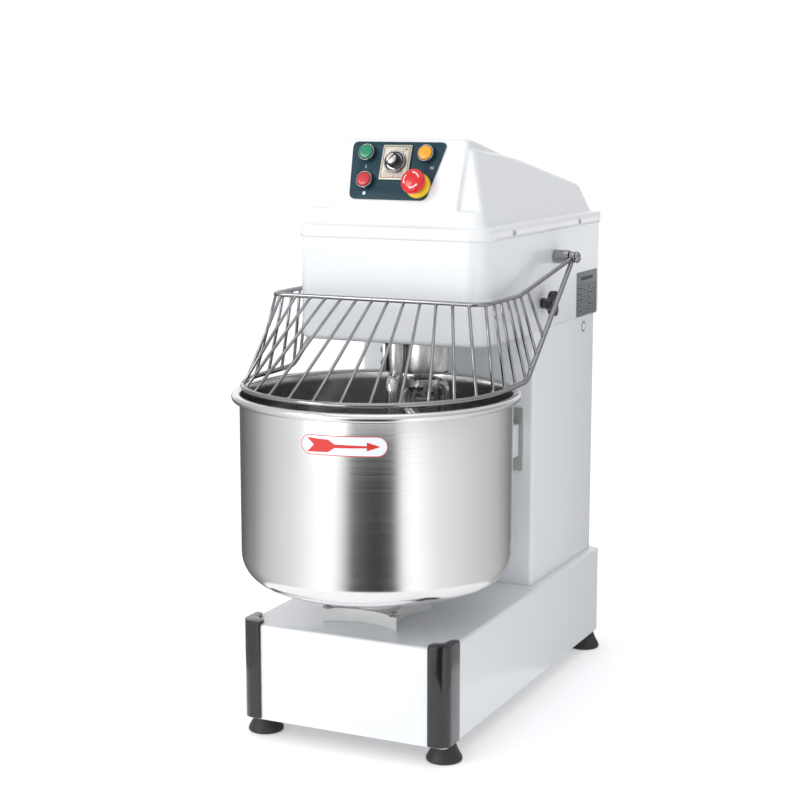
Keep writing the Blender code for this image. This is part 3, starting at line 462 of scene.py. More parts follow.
def drill(o, r, x, y, z0, z1, n=48):
    me = lathe_me("drill", [(0, z1), (r, z1), (r, z0), (0, z0)], n)
    me.transform(Matrix.Translation((x, y, 0)))
    return boolean(o, scratch(me))


def shell(name, bm, thick, cuts=()):
    """A closed or open outer skin made into a sheet shell, then drilled."""
    o = scratch(finish_bm(bm, name))
    m = o.modifiers.new("sheet", "SOLIDIFY")
    m.thickness, m.offset, m.use_even_offset = thick, -1, True
    baked(o)
    for c in cuts:
        drill(o, *c)
    me = o.data
    bpy.data.objects.remove(o)
    return me


# ------------------------------------------------------------------ base box
bm = box_bm((-BASE_W / 2, BASE_Y0, 0), (BASE_W / 2, BASE_D, BASE_H))
bmesh.ops.delete(bm, geom=[f for f in bm.faces if f.normal.z < -0.9], context="FACES")
bevel_if(bm, upright, 0.0085, 6)
bevel_if(bm, lambda a, b: a.z > BASE_H - 1e-4 and b.z > BASE_H - 1e-4, 0.0050, 5)
piece("base_shell", shell("base_shell", bm, 0.002, [(0.030, 0, BOWL_Y, BASE_H - 0.02, BASE_H + 0.02), (0.022, 0, 0.430, BASE_H - 0.02, BASE_H + 0.02)]),
      M_WHITE, "frame", ["base_housing"], smooth=40)

# ------------------------------------------------------------------ column
bm = box_bm((-COL_X, COL_Y0, BASE_H + 0.0003), (COL_X, COL_Y1, COL_Z1))
bmesh.ops.delete(bm, geom=[f for f in bm.faces if abs(f.normal.z) > 0.9], context="FACES")
bevel_if(bm, upright, 0.0060, 5)
piece("column_shell", shell("column_shell", bm, 0.002), M_WHITE, "frame", ["column_housing"], smooth=40)
rc_lo, rc_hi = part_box("rear_cover")
me = slab_me("rear_cover_sheet", round_poly([(rc_lo.x, rc_lo.z - ZS), (rc_hi.x, rc_lo.z - ZS), (rc_hi.x, rc_hi.z - ZS), (rc_lo.x, rc_hi.z - ZS)], 0.006), 0, rc_hi.y - rc_lo.y, 0.0005)
me.transform(Matrix.Translation((0, rc_hi.y - YS, 0)) @ Matrix.Rotation(HALF, 4, "X"))
piece("rear_cover_sheet", me, M_WHITE, "frame", ["rear_cover"])
# air slots of the rear cover, as pressed louvres
bm = bmesh.new()
for i in range(7):
    z = 0.40 + i * 0.013
    sweep_bm(bm, [(-0.055, rc_hi.y - YS + 0.0002, z), (0.055, rc_hi.y - YS + 0.0002, z)], 0.0022, 10, dome=0.8)
piece("rear_louvres", finish_bm(bm, "rear_louvres"), M_WHITE, "frame", smooth=60)


def screw_me(name, r=0.0036, h=0.0024, n=24):
    """A pan-head screw with a cross recess."""
    o = scratch(lathe_me(name, smooth_prof([(0, h), (r * 0.55, h * 0.94), (r * 0.92, h * 0.5), (r, 0.0), (0, 0.0)], 0.0006), n))
    for k in range(2):
        b = finish_bm(box_bm((-r * 0.55, -r * 0.11, h * 0.45), (r * 0.55, r * 0.11, h * 2)), "x")
        b.transform(Matrix.Rotation(k * HALF + 0.4, 4, "Z"))
        boolean(o, scratch(b))
    me = o.data
    bpy.data.objects.remove(o)
    return me


SCREW = screw_me("screw_head")
for x in (-0.122, 0.122):
    for z in (0.180, 0.355, 0.530):
        piece("rear_screw", SCREW, M_STEEL, "frame", at=(x, rc_hi.y - YS + 0.0001, z), rot=Matrix.Rotation(-HALF, 4, "X"))

# ------------------------------------------------------------------ head shell
bm = box_bm((-HEAD_X, HEAD_Y0, HEAD_Z0), (HEAD_X, HEAD_Y1, HEAD_Z1))
bmesh.ops.delete(bm, geom=[f for f in bm.faces if f.normal.z > 0.9], context="FACES")
bevel_if(bm, lambda a, b: upright(a, b) and a.y < 0.3, 0.034, 12)
bevel_if(bm, lambda a, b: upright(a, b) and a.y > 0.6, 0.008, 5)
bevel_if(bm, lambda a, b: a.z < HEAD_Z0 + 1e-4 and b.z < HEAD_Z0 + 1e-4, 0.0105, 6)
o = scratch(shell("head_shell", bm, 0.002, [(0.0365, 0.028, 0.212, HEAD_Z0 - 0.02, HEAD_Z0 + 0.02)]))
boolean(o, scratch(finish_bm(box_bm((-0.115, 0.375, HEAD_Z0 - 0.02), (0.115, 0.625, HEAD_Z0 + 0.02)), "b")))
for side in (-1, 1):
    me = lathe_me("drill", [(0, 0.17), (0.0068, 0.17), (0.0068, 0.14), (0, 0.14)], 24)
    me.transform(Matrix.Translation((0, 0.428, 0.671)) @ (XR if side > 0 else XL))
    boolean(o, scratch(me))
me = lathe_me("drill", [(0, 0.17), (0.0044, 0.17), (0.0044, 0.14), (0, 0.14)], 20)
me.transform(Matrix.Translation((0, 0.372, 0.602)) @ XR)
boolean(o, scratch(me))
me = o.data
bpy.data.objects.remove(o)
piece("head_shell", me, M_WHITE, "frame", ["head_housing"], smooth=40)

# ------------------------------------------------------------------ top cover: one moulding, softened all over
FACE_P, FACE_V = Vector((0, 0.152, 0.745)), Vector((0, 0.048, 0.119)).normalized()
FACE_N = Vector((0, -FACE_V.z, FACE_V.y))
FACE_Y0 = 0.152 - (0.745 - 0.7275) * 0.048 / 0.119


def hull(k):
    bm = box_bm((-1, 0, 0), (1, 1, 1))
    for v in bm.verts:
        sx, back, up = (1 if v.co.x > 0 else -1), v.co.y > 0.5, v.co.z > 0.5
        if not up:
            v.co = (sx * (0.1530 - k), (0.633 - k) if back else (FACE_Y0 + k * 1.2), 0.7265)
        elif not back:
            v.co = (sx * (0.1078 - k), 0.2000 + k, COVER_TOP - 0.0004 - k)
        else:
            v.co = (sx * (0.1363 - k), 0.611 - k, 0.777 - k)
    bevel_if(bm, lambda a, b: abs(a.z - b.z) > 0.03 and abs(a.y - b.y) < 0.1, 0.020, 6)
    bm.normal_update()
    es = [e for e in bm.edges if e.verts[0].co.z > 0.75 and e.verts[1].co.z > 0.75 and len(e.link_faces) == 2 and e.calc_face_angle(0) > 0.5]
    bmesh.ops.bevel(bm, geom=es, offset=0.009, segments=4, affect="EDGES", profile=0.5, clamp_overlap=True)
    return scratch(finish_bm(bm, "hull"))


def skirt(z0, z1, k):
    bm = box_bm((-0.1598 + k, 0.1392 + k, z0), (0.1598 - k, 0.6488 - k, z1))
    bevel_if(bm, lambda a, b: upright(a, b) and a.y < 0.3, 0.0365 - k, 10)
    bevel_if(bm, lambda a, b: upright(a, b) and a.y > 0.6, 0.010 - k * 0.9, 4)
    return scratch(finish_bm(bm, "skirt"))


def prism_x(quad, x0, x1):
    bm = box_bm((0, 0, 0), (1, 1, 1))
    for v in bm.verts:
        p = quad[(round(v.co.y), round(v.co.z))]
        v.co = (x0 if v.co.x < 0.5 else x1, p[0], p[1])
    return scratch(finish_bm(bm, "wedge"))


def set_back(o, k):
    """The front corners and shoulders of the moulding, set back either side of the raised panel."""
    for sx in (-1, 1):
        xs = sorted((sx * (0.1045 - k), sx * 0.175))
        p = [FACE_P + FACE_V * a + FACE_N * b for a, b in ((0.008 - k, 0.05), (0.013 - k, -0.0078 - k), (0.150, -0.0078 - k), (0.150, 0.05))]
        boolean(o, prism_x({(0, 0): p[0].yz, (1, 0): p[1].yz, (1, 1): p[2].yz, (0, 1): p[3].yz}, *xs))
        boolean(o, prism_x({(0, 0): (0.150, 0.8505 - k), (1, 0): (0.400, 0.8220 - k), (1, 1): (0.400, 0.93), (0, 1): (0.150, 0.93)}, *xs))
    return o


cover = set_back(hull(0.0), 0.0)
boolean(cover, skirt(0.7122, 0.7308, 0.0), "UNION")
r = cover.modifiers.new("remesh", "REMESH")
r.mode, r.voxel_size, r.adaptivity = "VOXEL", (0.0026), 0.0
baked(cover)
sm = cover.modifiers.new("relax", "SMOOTH")
sm.factor, sm.iterations = 0.5, 9
baked(cover)
hollow = set_back(hull(0.0034), 0.0034)
boolean(cover, skirt(0.700, 0.7278, 0.0027))
boolean(cover, hollow)
BUTTONS = {"slow": (-0.0530, 0.0978), "fast": (0.0443, 0.0976), "stop": (-0.0492, 0.0548)}
TIMER_UV, ESTOP_UV = (-0.0045, 0.0842), (0.0380, 0.0488)
TOP = 0.0018


def face_m(u, v, h=0.0):
    r = Matrix((Vector((1, 0, 0)), FACE_V, FACE_N)).transposed().to_4x4()
    return Matrix.Translation(Vector((u, 0, 0)) + FACE_P + FACE_V * v + FACE_N * h) @ r


for u, v, rr in [(*uv, 0.0111) for uv in [*BUTTONS.values(), ESTOP_UV]] + [(*TIMER_UV, 0.0050)]:
    me = lathe_me("drill", [(0, 0.02), (rr, 0.02), (rr, -0.02), (0, -0.02)], 40)
    me.transform(face_m(u, v))
    boolean(cover, scratch(me))
me = cover.data
bpy.data.objects.remove(cover)
piece("cover_moulding", me, M_COVER, "frame", ["head_cover"], smooth=50)


def on_face(name, me, mat, u, v, h, body="frame", nodes=(), slot=None, smooth=35, turn=0.0):
    me.transform(face_m(u, v, h) @ Matrix.Rotation(turn, 4, "Z"))
    return piece(name, me, mat, body, nodes, smooth=smooth)


# ------------------------------------------------------------------ control panel and what is on it
corners = [(-0.0814, 0.1172), (-0.0729, 0.0268), (0.0527, 0.0262), (0.0742, 0.1172)]
holes = [ring_pts(0.0112, 32, *uv) for uv in [*BUTTONS.values(), ESTOP_UV]] + [ring_pts(0.0050, 24, *TIMER_UV)]
on_face("panel_film", slab_me("panel_film", round_poly(corners, 0.0105, 8), 0, 0.0012, 0.0003, holes), M_PANEL, 0, 0, 0.0003, nodes=["control_panel"], slot="panel_blue", smooth=30)

for key, mat, sl, node in (("slow", M_GREEN, "green_cap", "start_slow"), ("fast", M_AMBER, "amber_cap", "start_fast"), ("stop", M_RED, "red_cap", "stop")):
    u, v = BUTTONS[key]
    prof = smooth_prof([(0.0113, 0.0015), (0.0113, 0.0088), (0.0122, 0.0090), (0.0130, 0.0082), (0.0133, 0.0060), (0.0133, 0.0012), (0.0136, 0.0006), (0.0136, 0.0)], 0.0006)
    on_face(key + "_ring", lathe_me(key, prof + [(0.0113, 0.0)], 64, True), M_CHROME, u, v, TOP, nodes=[node + "_bezel"], slot="chrome_wire", smooth=40)
    cap = [(0, 0.0112), (0.0060, 0.01115), (0.0092, 0.0108), (0.0103, 0.0101), (0.0107, 0.0090), (0.0107, -0.0079), (0, -0.0080)]
    on_face(key + "_cap", lathe_me(key + "_cap", smooth_prof(cap, 0.0006), 56), mat, u, v, TOP, {"slow": "slow_button", "fast": "fast_button", "stop": "stop_button"}[key], [node + "_button"], sl)


def mark(name, outlines, u, v, mat=None, slot="white_nylon", h=0.00155, t=0.00008):
    """Small printed pictogram on the panel film: generic shapes only."""
    bm = bmesh.new()
    for pts in outlines:
        a = [bm.verts.new((x, y, 0)) for x, y in pts]
        b = [bm.verts.new((x, y, t)) for x, y in pts]
        bm.faces.new(list(reversed(a)))
        bm.faces.new(b)
        for i in range(len(pts)):
            j = (i + 1) % len(pts)
            bm.faces.new((a[i], a[j], b[j], b[i]))
    on_face(name, finish_bm(bm, name), mat or M_MARK, u, v, h, slot=slot, smooth=None)


def chevron(x, s=0.0022, w=0.0011):
    return [(x, s), (x + w, s), (x + w + s, 0), (x + w, -s), (x, -s), (x + s, 0)]


mark("mark_slow", [chevron(-0.0020)], -0.0530, 0.0980 - 0.0205)
mark("mark_fast", [chevron(-0.0042), chevron(-0.0008)], 0.0560, 0.0976 - 0.0205)
mark("mark_stop", [[(-0.0024, -0.0024), (0.0024, -0.0024), (0.0024, 0.0024), (-0.0024, 0.0024)]], -0.0492, 0.0548 - 0.0190)

# timer: bevelled plate, dial ring with ticks, domed dish and pointer knob
tw, th = 0.0239, 0.0274
plate = slab_me("timer_plate", round_poly([(-tw, -th), (tw, -th), (tw, th), (-tw, th)], 0.0022, 4), 0, 0.0030, 0.0007, [ring_pts(0.0050, 24)])
on_face("timer_bezel_plate", plate, M_TIMER, *TIMER_UV, TOP - 0.0003, nodes=["timer_plate"], slot="timer_plate")
rim = []
for i in range(4):
    a, b = (tw - 0.0034), (th - 0.0034)
bm = bmesh.new()
loop = round_poly([(-tw + 0.0030, -th + 0.0030), (tw - 0.0030, -th + 0.0030), (tw - 0.0030, th - 0.0030), (-tw + 0.0030, th - 0.0030)], 0.0016, 3)
sweep_bm(bm, [(x, y, 0) for x, y in loop + [loop[0], loop[1]]], 0.00035, 6, caps=False)
on_face("timer_frame_line", finish_bm(bm, "timer_frame_line"), M_KNOB, *TIMER_UV, TOP + 0.0027, slot="black_plastic")
ticks = []
for i in range(31):
    a = math.radians(-240 + 300 * i / 30)
    r0, r1, w = 0.0188, (0.0212 if i % 5 == 0 else 0.0202), (0.00032 if i % 5 == 0 else 0.00018)
    c, s_ = math.cos(a), math.sin(a)
    ticks.append([(r0 * c - w * s_, r0 * s_ + w * c), (r0 * c + w * s_, r0 * s_ - w * c), (r1 * c + w * s_, r1 * s_ - w * c), (r1 * c - w * s_, r1 * s_ + w * c)])
mark("timer_ticks", ticks, *TIMER_UV, M_KNOB, "black_plastic", TOP + 0.0027, 0.00008)
mark("timer_dot", [ring_pts(0.0013, 16, 0.0150, 0.0200)], *TIMER_UV, M_KNOB, "black_plastic", TOP + 0.0027, 0.0001)
mark("timer_foot_mark", [ring_pts(0.0016, 4, 0.0, -0.0222, HALF), [(-0.0125, -0.0226), (-0.0035, -0.0226), (-0.0035, -0.0220), (-0.0125, -0.0220)], [(0.0035, -0.0226), (0.0125, -0.0226), (0.0125, -0.0220), (0.0035, -0.0220)]], *TIMER_UV, M_LABEL_RED, "red_cap", TOP + 0.0027, 0.0001)
T0 = TOP + 0.0033
dish = smooth_prof([(0.0046, 0.0), (0.0171, 0.0), (0.0171, 0.0028), (0.0163, 0.0042), (0.0152, 0.0046), (0.0142, 0.0036), (0.0128, 0.0030), (0.0126, 0.0030)], 0.0008)
body_prof = dish + [(0.0122, 0.0148), (0.0112, 0.0168), (0.0098, 0.0176), (0.0045, 0.0180), (0, 0.0180)]
stem = [(0.0045, 0.0), (0.0045, -0.0095), (0.0040, -0.0100), (0, -0.0100)]
on_face("timer_dish", lathe_me("timer_dish", list(reversed(stem)) + dish[1:] + [(0.0105, 0.0034), (0, 0.0034)], 72), M_CHROME, *TIMER_UV, T0, "timer_knob", ["timer_knob"], "chrome_wire", smooth=50)
# the grip: a fluted black barrel with a raised pointer and a bright centre
bm = bmesh.new()
prof = [(0.0105, 0.0036), (0.0105, 0.0132), (0.0098, 0.0150), (0.0086, 0.0156)]
n = 96
rings = []
for r_, z_ in prof:
    rings.append([bm.verts.new(((r_ + 0.00035 * math.cos(24 * 2 * math.pi * i / n)) * math.cos(2 * math.pi * i / n), (r_ + 0.00035 * math.cos(24 * 2 * math.pi * i / n)) * math.sin(2 * math.pi * i / n), z_)) for i in range(n)])
for a, b in zip(rings, rings[1:]):
    for i in range(n):
        bm.faces.new((a[i], a[(i + 1) % n], b[(i + 1) % n], b[i]))
bm.faces.new(rings[-1])
bm.faces.new(list(reversed(rings[0])))
on_face("timer_grip", finish_bm(bm, "timer_grip"), M_KNOB, *TIMER_UV, T0, "timer_knob", slot="black_plastic", smooth=30)
on_face("timer_cap", lathe_me("timer_cap", smooth_prof([(0.0082, 0.0154), (0.0080, 0.0168), (0.0060, 0.0176), (0.0, 0.0179)], 0.0008), 48), M_DIAL, *TIMER_UV, T0, "timer_knob", slot="chrome_wire", smooth=50)
bm = box_bm((-0.0012, -0.0070, 0.0160), (0.0012, 0.0104, 0.0179))
bevel_if(bm, lambda a, b: True, 0.0005, 2)
on_face("timer_pointer", finish_bm(bm, "timer_pointer"), M_KNOB, *TIMER_UV, T0, "timer_knob", slot="black_plastic", turn=math.radians(-38))

# emergency stop: collar, stem, mushroom and its turning arrows
col_prof = smooth_prof([(0.0113, 0.0008), (0.0113, 0.0066), (0.0150, 0.0069), (0.0180, 0.0056), (0.0193, 0.0026), (0.0195, 0.0006), (0.0195, 0.0)], 0.0008)
on_face("stop_collar", lathe_me("stop_collar", col_prof + [(0.0113, 0.0)], 72, True), M_YELLOW, *ESTOP_UV, TOP, nodes=["estop_collar"], slot="collar_yellow", smooth=50)
st = smooth_prof([(0, 0.0185), (0.0060, 0.0185), (0.0060, 0.0120), (0.0107, 0.0119), (0.0107, -0.0089), (0, -0.0090)], 0.0005)
on_face("stop_stem", lathe_me("stop_stem", st, 48), M_ESTOP, *ESTOP_UV, TOP, "estop_stem", ["estop_stem"], "red_cap")
hd = smooth_prof([(0, 0.0284), (0.0060, 0.0282), (0.0120, 0.0272), (0.0165, 0.0252), (0.0186, 0.0226), (0.0192, 0.0198), (0.0186, 0.0176), (0.0165, 0.0150), (0.0145, 0.0137), (0.0063, 0.0136), (0.0063, 0.0189), (0, 0.0189)], 0.0016)
on_face("stop_mushroom", lathe_me("stop_mushroom", hd, 80), M_ESTOP, *ESTOP_UV, TOP, "estop_head", ["estop_head"], "red_cap", smooth=50)


def dome_z(r):
    """Height of the mushroom's top at a radius, read from the same control points."""
    pts = [(0, 0.0284), (0.0060, 0.0282), (0.0120, 0.0272), (0.0165, 0.0252)]
    for (a, za), (b, zb) in zip(pts, pts[1:]):
        if r <= b:
            return za + (zb - za) * (r - a) / (b - a)
    return pts[-1][1]


bm = bmesh.new()
for q in range(3):
    a0 = math.radians(20 + 120 * q)
    n = 12
    inner, outer = [], []
    for i in range(n + 1):
        a = a0 + math.radians(72) * i / n
        w = 0.00075 if i < n - 2 else 0.00165 * (n - i) / 2
        for lst, r_ in ((inner, 0.0118 - w), (outer, 0.0118 + w)):
            lst.append(bm.verts.new((r_ * math.cos(a), r_ * math.sin(a), dome_z(r_) + 0.00012)))
    for i in range(n):
        try:
            bm.faces.new((inner[i], outer[i], outer[i + 1], inner[i + 1]))
        except ValueError:
            pass
bmesh.ops.remove_doubles(bm, verts=bm.verts, dist=1e-6)
on_face("stop_arrows", finish_bm(bm, "stop_arrows"), M_ARROW, *ESTOP_UV, TOP, "estop_head", slot="white_nylon", smooth=60)

# ------------------------------------------------------------------ cover screws
for sx, tag in ((-1, "left"), (1, "right")):
    for y, w in ((0.247, "front"), (0.535, "rear")):
        lo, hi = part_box(f"cover_screw_{tag}_{w}")
        ring = lathe_me("cup", smooth_prof([(0.0046, 0.0), (0.0044, 0.0006), (0.0036, 0.0007), (0.0, 0.0007)], 0.0002), 28)
        piece(f"lip_screw_{tag}_{w}", SCREW.copy(), M_STEEL, "frame", [f"cover_screw_{tag}_{w}"], at=(sx * 0.1600, y, 0.7205), rot=XR if sx > 0 else XL)
        piece(f"lip_screw_cup_{tag}_{w}", ring, M_PLATE, "frame", (), at=(sx * 0.1597, y, 0.7205), rot=XR if sx > 0 else XL)

# ------------------------------------------------------------------ bowl
R = RIM_OUT - 0.0065 - 0.0053          # outside of the wall
TUBE, RIM_Z, CORNER, WALL = 0.0065, 0.487, 0.047, 0.0015
outside = [(0.0, BOWL_Z0), (R - CORNER, BOWL_Z0)]
outside += [(R - CORNER + x, BOWL_Z0 + CORNER + z) for x, z in arc(0, 0, CORNER, -90, 0, 18)][1:]
inside = [(0.0, BOWL_Z0 + WALL), (R - CORNER, BOWL_Z0 + WALL)]
inside += [(R - CORNER + x, BOWL_Z0 + CORNER + z) for x, z in arc(0, 0, CORNER - WALL, -90, 0, 18)][1:]
neck = [(R - 0.0004, RIM_Z - 0.0062), (R, RIM_Z - 0.0072)]
rim = arc(R + 0.0053, RIM_Z, TUBE, 172, -158, 26)
inside_top = [(R - WALL, RIM_Z - 0.010), (R - WALL + 0.0002, RIM_Z - 0.004)]
line = list(reversed(inside))
prof = inside + inside_top[:1] + rim + [(R, RIM_Z - 0.0078)] + list(reversed(outside))
piece("bowl_spun", lathe_me("bowl_spun", list(reversed(prof)), 160), M_BOWL, "bowl", ["bowl"], at=(0, BOWL_Y, 0), smooth=50)


# direction label: a pill with a red border and a red arrow, laid on the bowl
def on_bowl(pts2, lift, thick, name, mat, a_mid=-77.2, z_mid=0.4468, sub=True):
    """A flat outline in label millimetres, wrapped round the bowl's wall."""
    bm = bmesh.new()
    vs = [bm.verts.new((x, 0, z)) for x, z in pts2]
    f = bm.faces.new(vs)
    bm.normal_update()
    bmesh.ops.triangulate(bm, faces=[f])
    for _ in range(5):
        long_e = [e for e in bm.edges if abs(e.verts[0].co.x - e.verts[1].co.x) > 0.004]
        if not long_e:
            break
        bmesh.ops.subdivide_edges(bm, edges=long_e, cuts=1)
        bmesh.ops.triangulate(bm, faces=bm.faces)
    ext = bmesh.ops.extrude_face_region(bm, geom=list(bm.faces))
    top = {v for v in ext["geom"] if isinstance(v, bmesh.types.BMVert)}
    for v in bm.verts:
        a = math.radians(a_mid) + v.co.x / R
        rr = R + lift + (thick if v in top else 0.0)
        v.co = (rr * math.cos(a), BOWL_Y + rr * math.sin(a), z_mid + v.co.z)
    return piece(name, finish_bm(bm, name), mat, "bowl", (), smooth=60)


LH, LW = 0.0142, 0.0625


def pill(w, h, n=16):
    return arc(w - h, 0, h, -90, 90, n) + arc(-(w - h), 0, h, 90, 270, n)


on_bowl(pill(LW, LH), 0.00012, 0.00010, "label_border", M_LABEL_RED)
on_bowl(pill(LW - 0.0011, LH - 0.0011), 0.00024, 0.00008, "label_ground", M_LABEL)
arrow = [(-0.0530, 0.0098), (-0.0330, 0.0086), (-0.0210, 0.0082), (-0.0120, 0.0020), (0.0335, 0.0010), (0.0335, 0.0062), (0.0525, 0.0), (0.0335, -0.0062),
         (0.0335, -0.0020), (-0.0120, -0.0030), (-0.0210, -0.0092), (-0.0330, -0.0096), (-0.0530, -0.0104), (-0.0425, 0.0)]
on_bowl(arrow, 0.00034, 0.00008, "label_arrow", M_LABEL_RED)

# ------------------------------------------------------------------ bowl bearing flange
h = 0.055
sec = []
for cx, cy, a in ((h, -h, -45), (h, h, 45), (-h, h, 135), (-h, -h, 225)):
    sec += arc(cx, cy, 0.0134, a - 75, a + 75, 12)
o = scratch(slab_me("flange", sec, 0, 0.0199))
for dx, dy in ((0, -1), (1, 0), (0, 1), (-1, 0)):
    drill(o, 0.1102, dx * 0.1530, dy * 0.1530, -0.01, 0.03, 128)
boolean(o, scratch(lathe_me("boss", [(0, 0.0298), (0.0345, 0.0298), (0.0360, 0.0283), (0.0370, 0.0200), (0.0400, 0.0150), (0.0400, 0.004), (0, 0.004)], 64)), "UNION")
drill(o, 0.0154, 0, 0, -0.01, 0.05, 48)
b = o.modifiers.new("round", "BEVEL")
b.width, b.segments, b.limit_method, b.angle_limit = 0.0022, 3, "ANGLE", math.radians(50)
baked(o)
me = o.data
bpy.data.objects.remove(o)
piece("bearing_flange", me, M_HUB, "frame", ["bowl_bearing_housing"], at=(0, BOWL_Y, BASE_H + 0.0003), smooth=40)


def hex_bolt(name, r=0.0058, h_=0.0062):
    o = scratch(lathe_me(name, [(0, 0.0011), (0.0074, 0.0011), (0.0078, 0.0008), (0.0078, 0.0), (0, 0.0)], 32))
    hx = slab_me(name, ring_pts(r, 6), 0.0008, h_, 0.0005)
    boolean(o, scratch(hx), "UNION")
    me = o.data
    bpy.data.objects.remove(o)
    return me


BOLT = hex_bolt("hex_bolt")
for sx, sy, tag in ((-1, -1, "front_left"), (1, -1, "front_right"), (-1, 1, "rear_left"), (1, 1, "rear_right")):
    piece("flange_bolt_" + tag, BOLT.copy(), M_STEEL, "frame", ["bearing_bolt_" + tag],
          at=(sx * h, BOWL_Y + sy * h, BASE_H + 0.0208), rot=Matrix.Rotation(0.3 + sx + sy, 4, "Z"), smooth=30)

# ------------------------------------------------------------------ spindle housing, hook and breaker bar
SPIN, POST, BREAK = (0.028, 0.212), (0.004, 0.163), (0.030, 0.095)
pr = smooth_prof([(0.0349, 0.6148), (0.0349, 0.5565), (0.0384, 0.5562), (0.0384, 0.5110), (0.0370, 0.5074), (0.0300, 0.5071), (0.0300, 0.5100), (0.0156, 0.5100), (0.0156, 0.6148)], 0.0012)
piece("spindle_tube", lathe_me("spindle_tube", pr, 80, True), M_STEEL, "frame", ["spindle_housing"], at=(*SPIN, 0), smooth=45)
HOOK_TOP, HOOK_BOT, BAR, ARM_Z = 0.4775, 0.2320, 0.0098, 0.4890


def swirl(t):
    ang = math.radians(-104 + 226 * t)
    grow, end = min(1.0, t / 0.16), max(0.0, (t - 0.80) / 0.20)
    r_ = 0.034 + (0.0735 - 0.034) * math.sin(grow * HALF) - (0.0735 - 0.046) * (end * end * (3 - 2 * end))
    return Vector((r_ * math.cos(ang), r_ * math.sin(ang), HOOK_TOP - (HOOK_TOP - HOOK_BOT) * (0.04 * t + 0.96 * (t ** 1.02))))


N = 90
core = [(0.006 * math.cos(math.radians(-110)), 0.006 * math.sin(math.radians(-110)), HOOK_TOP)] + [swirl(i / N) for i in range(N + 1)]
o = scratch(finish_bm(sweep_bm(bmesh.new(), core, BAR, 24, dome=0.25), "hook"))
L = (0.032 * math.cos(math.radians(40)), 0.032 * math.sin(math.radians(40)))
e = swirl(1.0)
leg = fillet([(0.006 * math.cos(0.70), 0.006 * math.sin(0.70), ARM_Z), (L[0], L[1], ARM_Z), (L[0], L[1], HOOK_BOT), (0, 0, HOOK_BOT), (e.x * 0.97, e.y * 0.97, HOOK_BOT)], 0.012, 8)
boolean(o, scratch(finish_bm(sweep_bm(bmesh.new(), leg, 0.0086, 24, dome=0.1), "leg")), "UNION")
boolean(o, scratch(lathe_me("hub", smooth_prof([(0, 0.4993), (0.0222, 0.4993), (0.0238, 0.4978), (0.0238, 0.4700), (0.0222, 0.4682), (0, 0.4682)], 0.0008), 56)), "UNION")
b = o.modifiers.new("weld_bead", "BEVEL")
b.width, b.segments, b.limit_method, b.angle_limit = 0.0010, 2, "ANGLE", math.radians(55)
baked(o)
me = o.data
bpy.data.objects.remove(o)
piece("hook_forging", me, M_HOOK, "spiral", ["spiral_hook"], at=(*SPIN, 0), smooth=50)
# clamp screw and locking nut of the hub
for a, z, r_ in ((-78, 0.4860, 0.0058), (-42, 0.4790, 0.0050)):
    q = Matrix.Translation((SPIN[0], SPIN[1], z)) @ Matrix.Rotation(math.radians(a), 4, "Z") @ Matrix.Translation((0.0236, 0, 0)) @ XR
    me = slab_me("hub_bolt", ring_pts(r_, 6), 0, 0.0050, 0.0006)
    me.transform(q)
    piece(f"hub_bolt_{abs(a)}", me, M_CHROME, "spiral", smooth=30)

bar_path = fillet([(POST[0] + (BREAK[0] - POST[0]) * 0.03, POST[1] + (BREAK[1] - POST[1]) * 0.03, 0.5070), (BREAK[0], BREAK[1], 0.5070), (BREAK[0], BREAK[1], 0.2225)], 0.013, 10)
o = scratch(finish_bm(sweep_bm(bmesh.new(), bar_path, 0.0086, 28, dome=0.28), "bar"))
p2 = smooth_prof([(0, HEAD_Z0 - 0.0004), (0.0109, HEAD_Z0 - 0.0004), (0.0109, 0.4990), (0.0098, 0.4974), (0, 0.4974)], 0.0006)
me = lathe_me("post", p2, 40)
me.transform(Matrix.Translation((*POST, 0)))
boolean(o, scratch(me), "UNION")
me = o.data
bpy.data.objects.remove(o)
piece("breaker_forging", me, M_STEEL, "frame", ["breaker_bar"], smooth=50)
lo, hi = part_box("breaker_bracket")
bm = box_bm((lo.x, lo.y - YS, lo.z - ZS), (hi.x, hi.y - YS, hi.z - ZS))
bevel_if(bm, lambda a, b: True, 0.0008, 3)
piece("bracket_plate", finish_bm(bm, "bracket_plate"), M_STEEL, "frame", ["breaker_bracket"], smooth=40)
for w in ("lower", "upper"):
    lo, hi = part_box("breaker_nut_" + w)
    me = lathe_me("nut", smooth_prof([(0, 0.0084), (0.0032, 0.0078), (0.0052, 0.0056), (0.0056, 0.0036), (0.0063, 0.0034), (0.0063, 0.0), (0, 0.0)], 0.0010), 32)
    piece("dome_nut_" + w, me, M_CHROME, "frame", ["breaker_nut_" + w], at=(hi.x, (lo.y + hi.y) / 2 - YS, (lo.z + hi.z) / 2 - ZS), rot=XL, smooth=50)

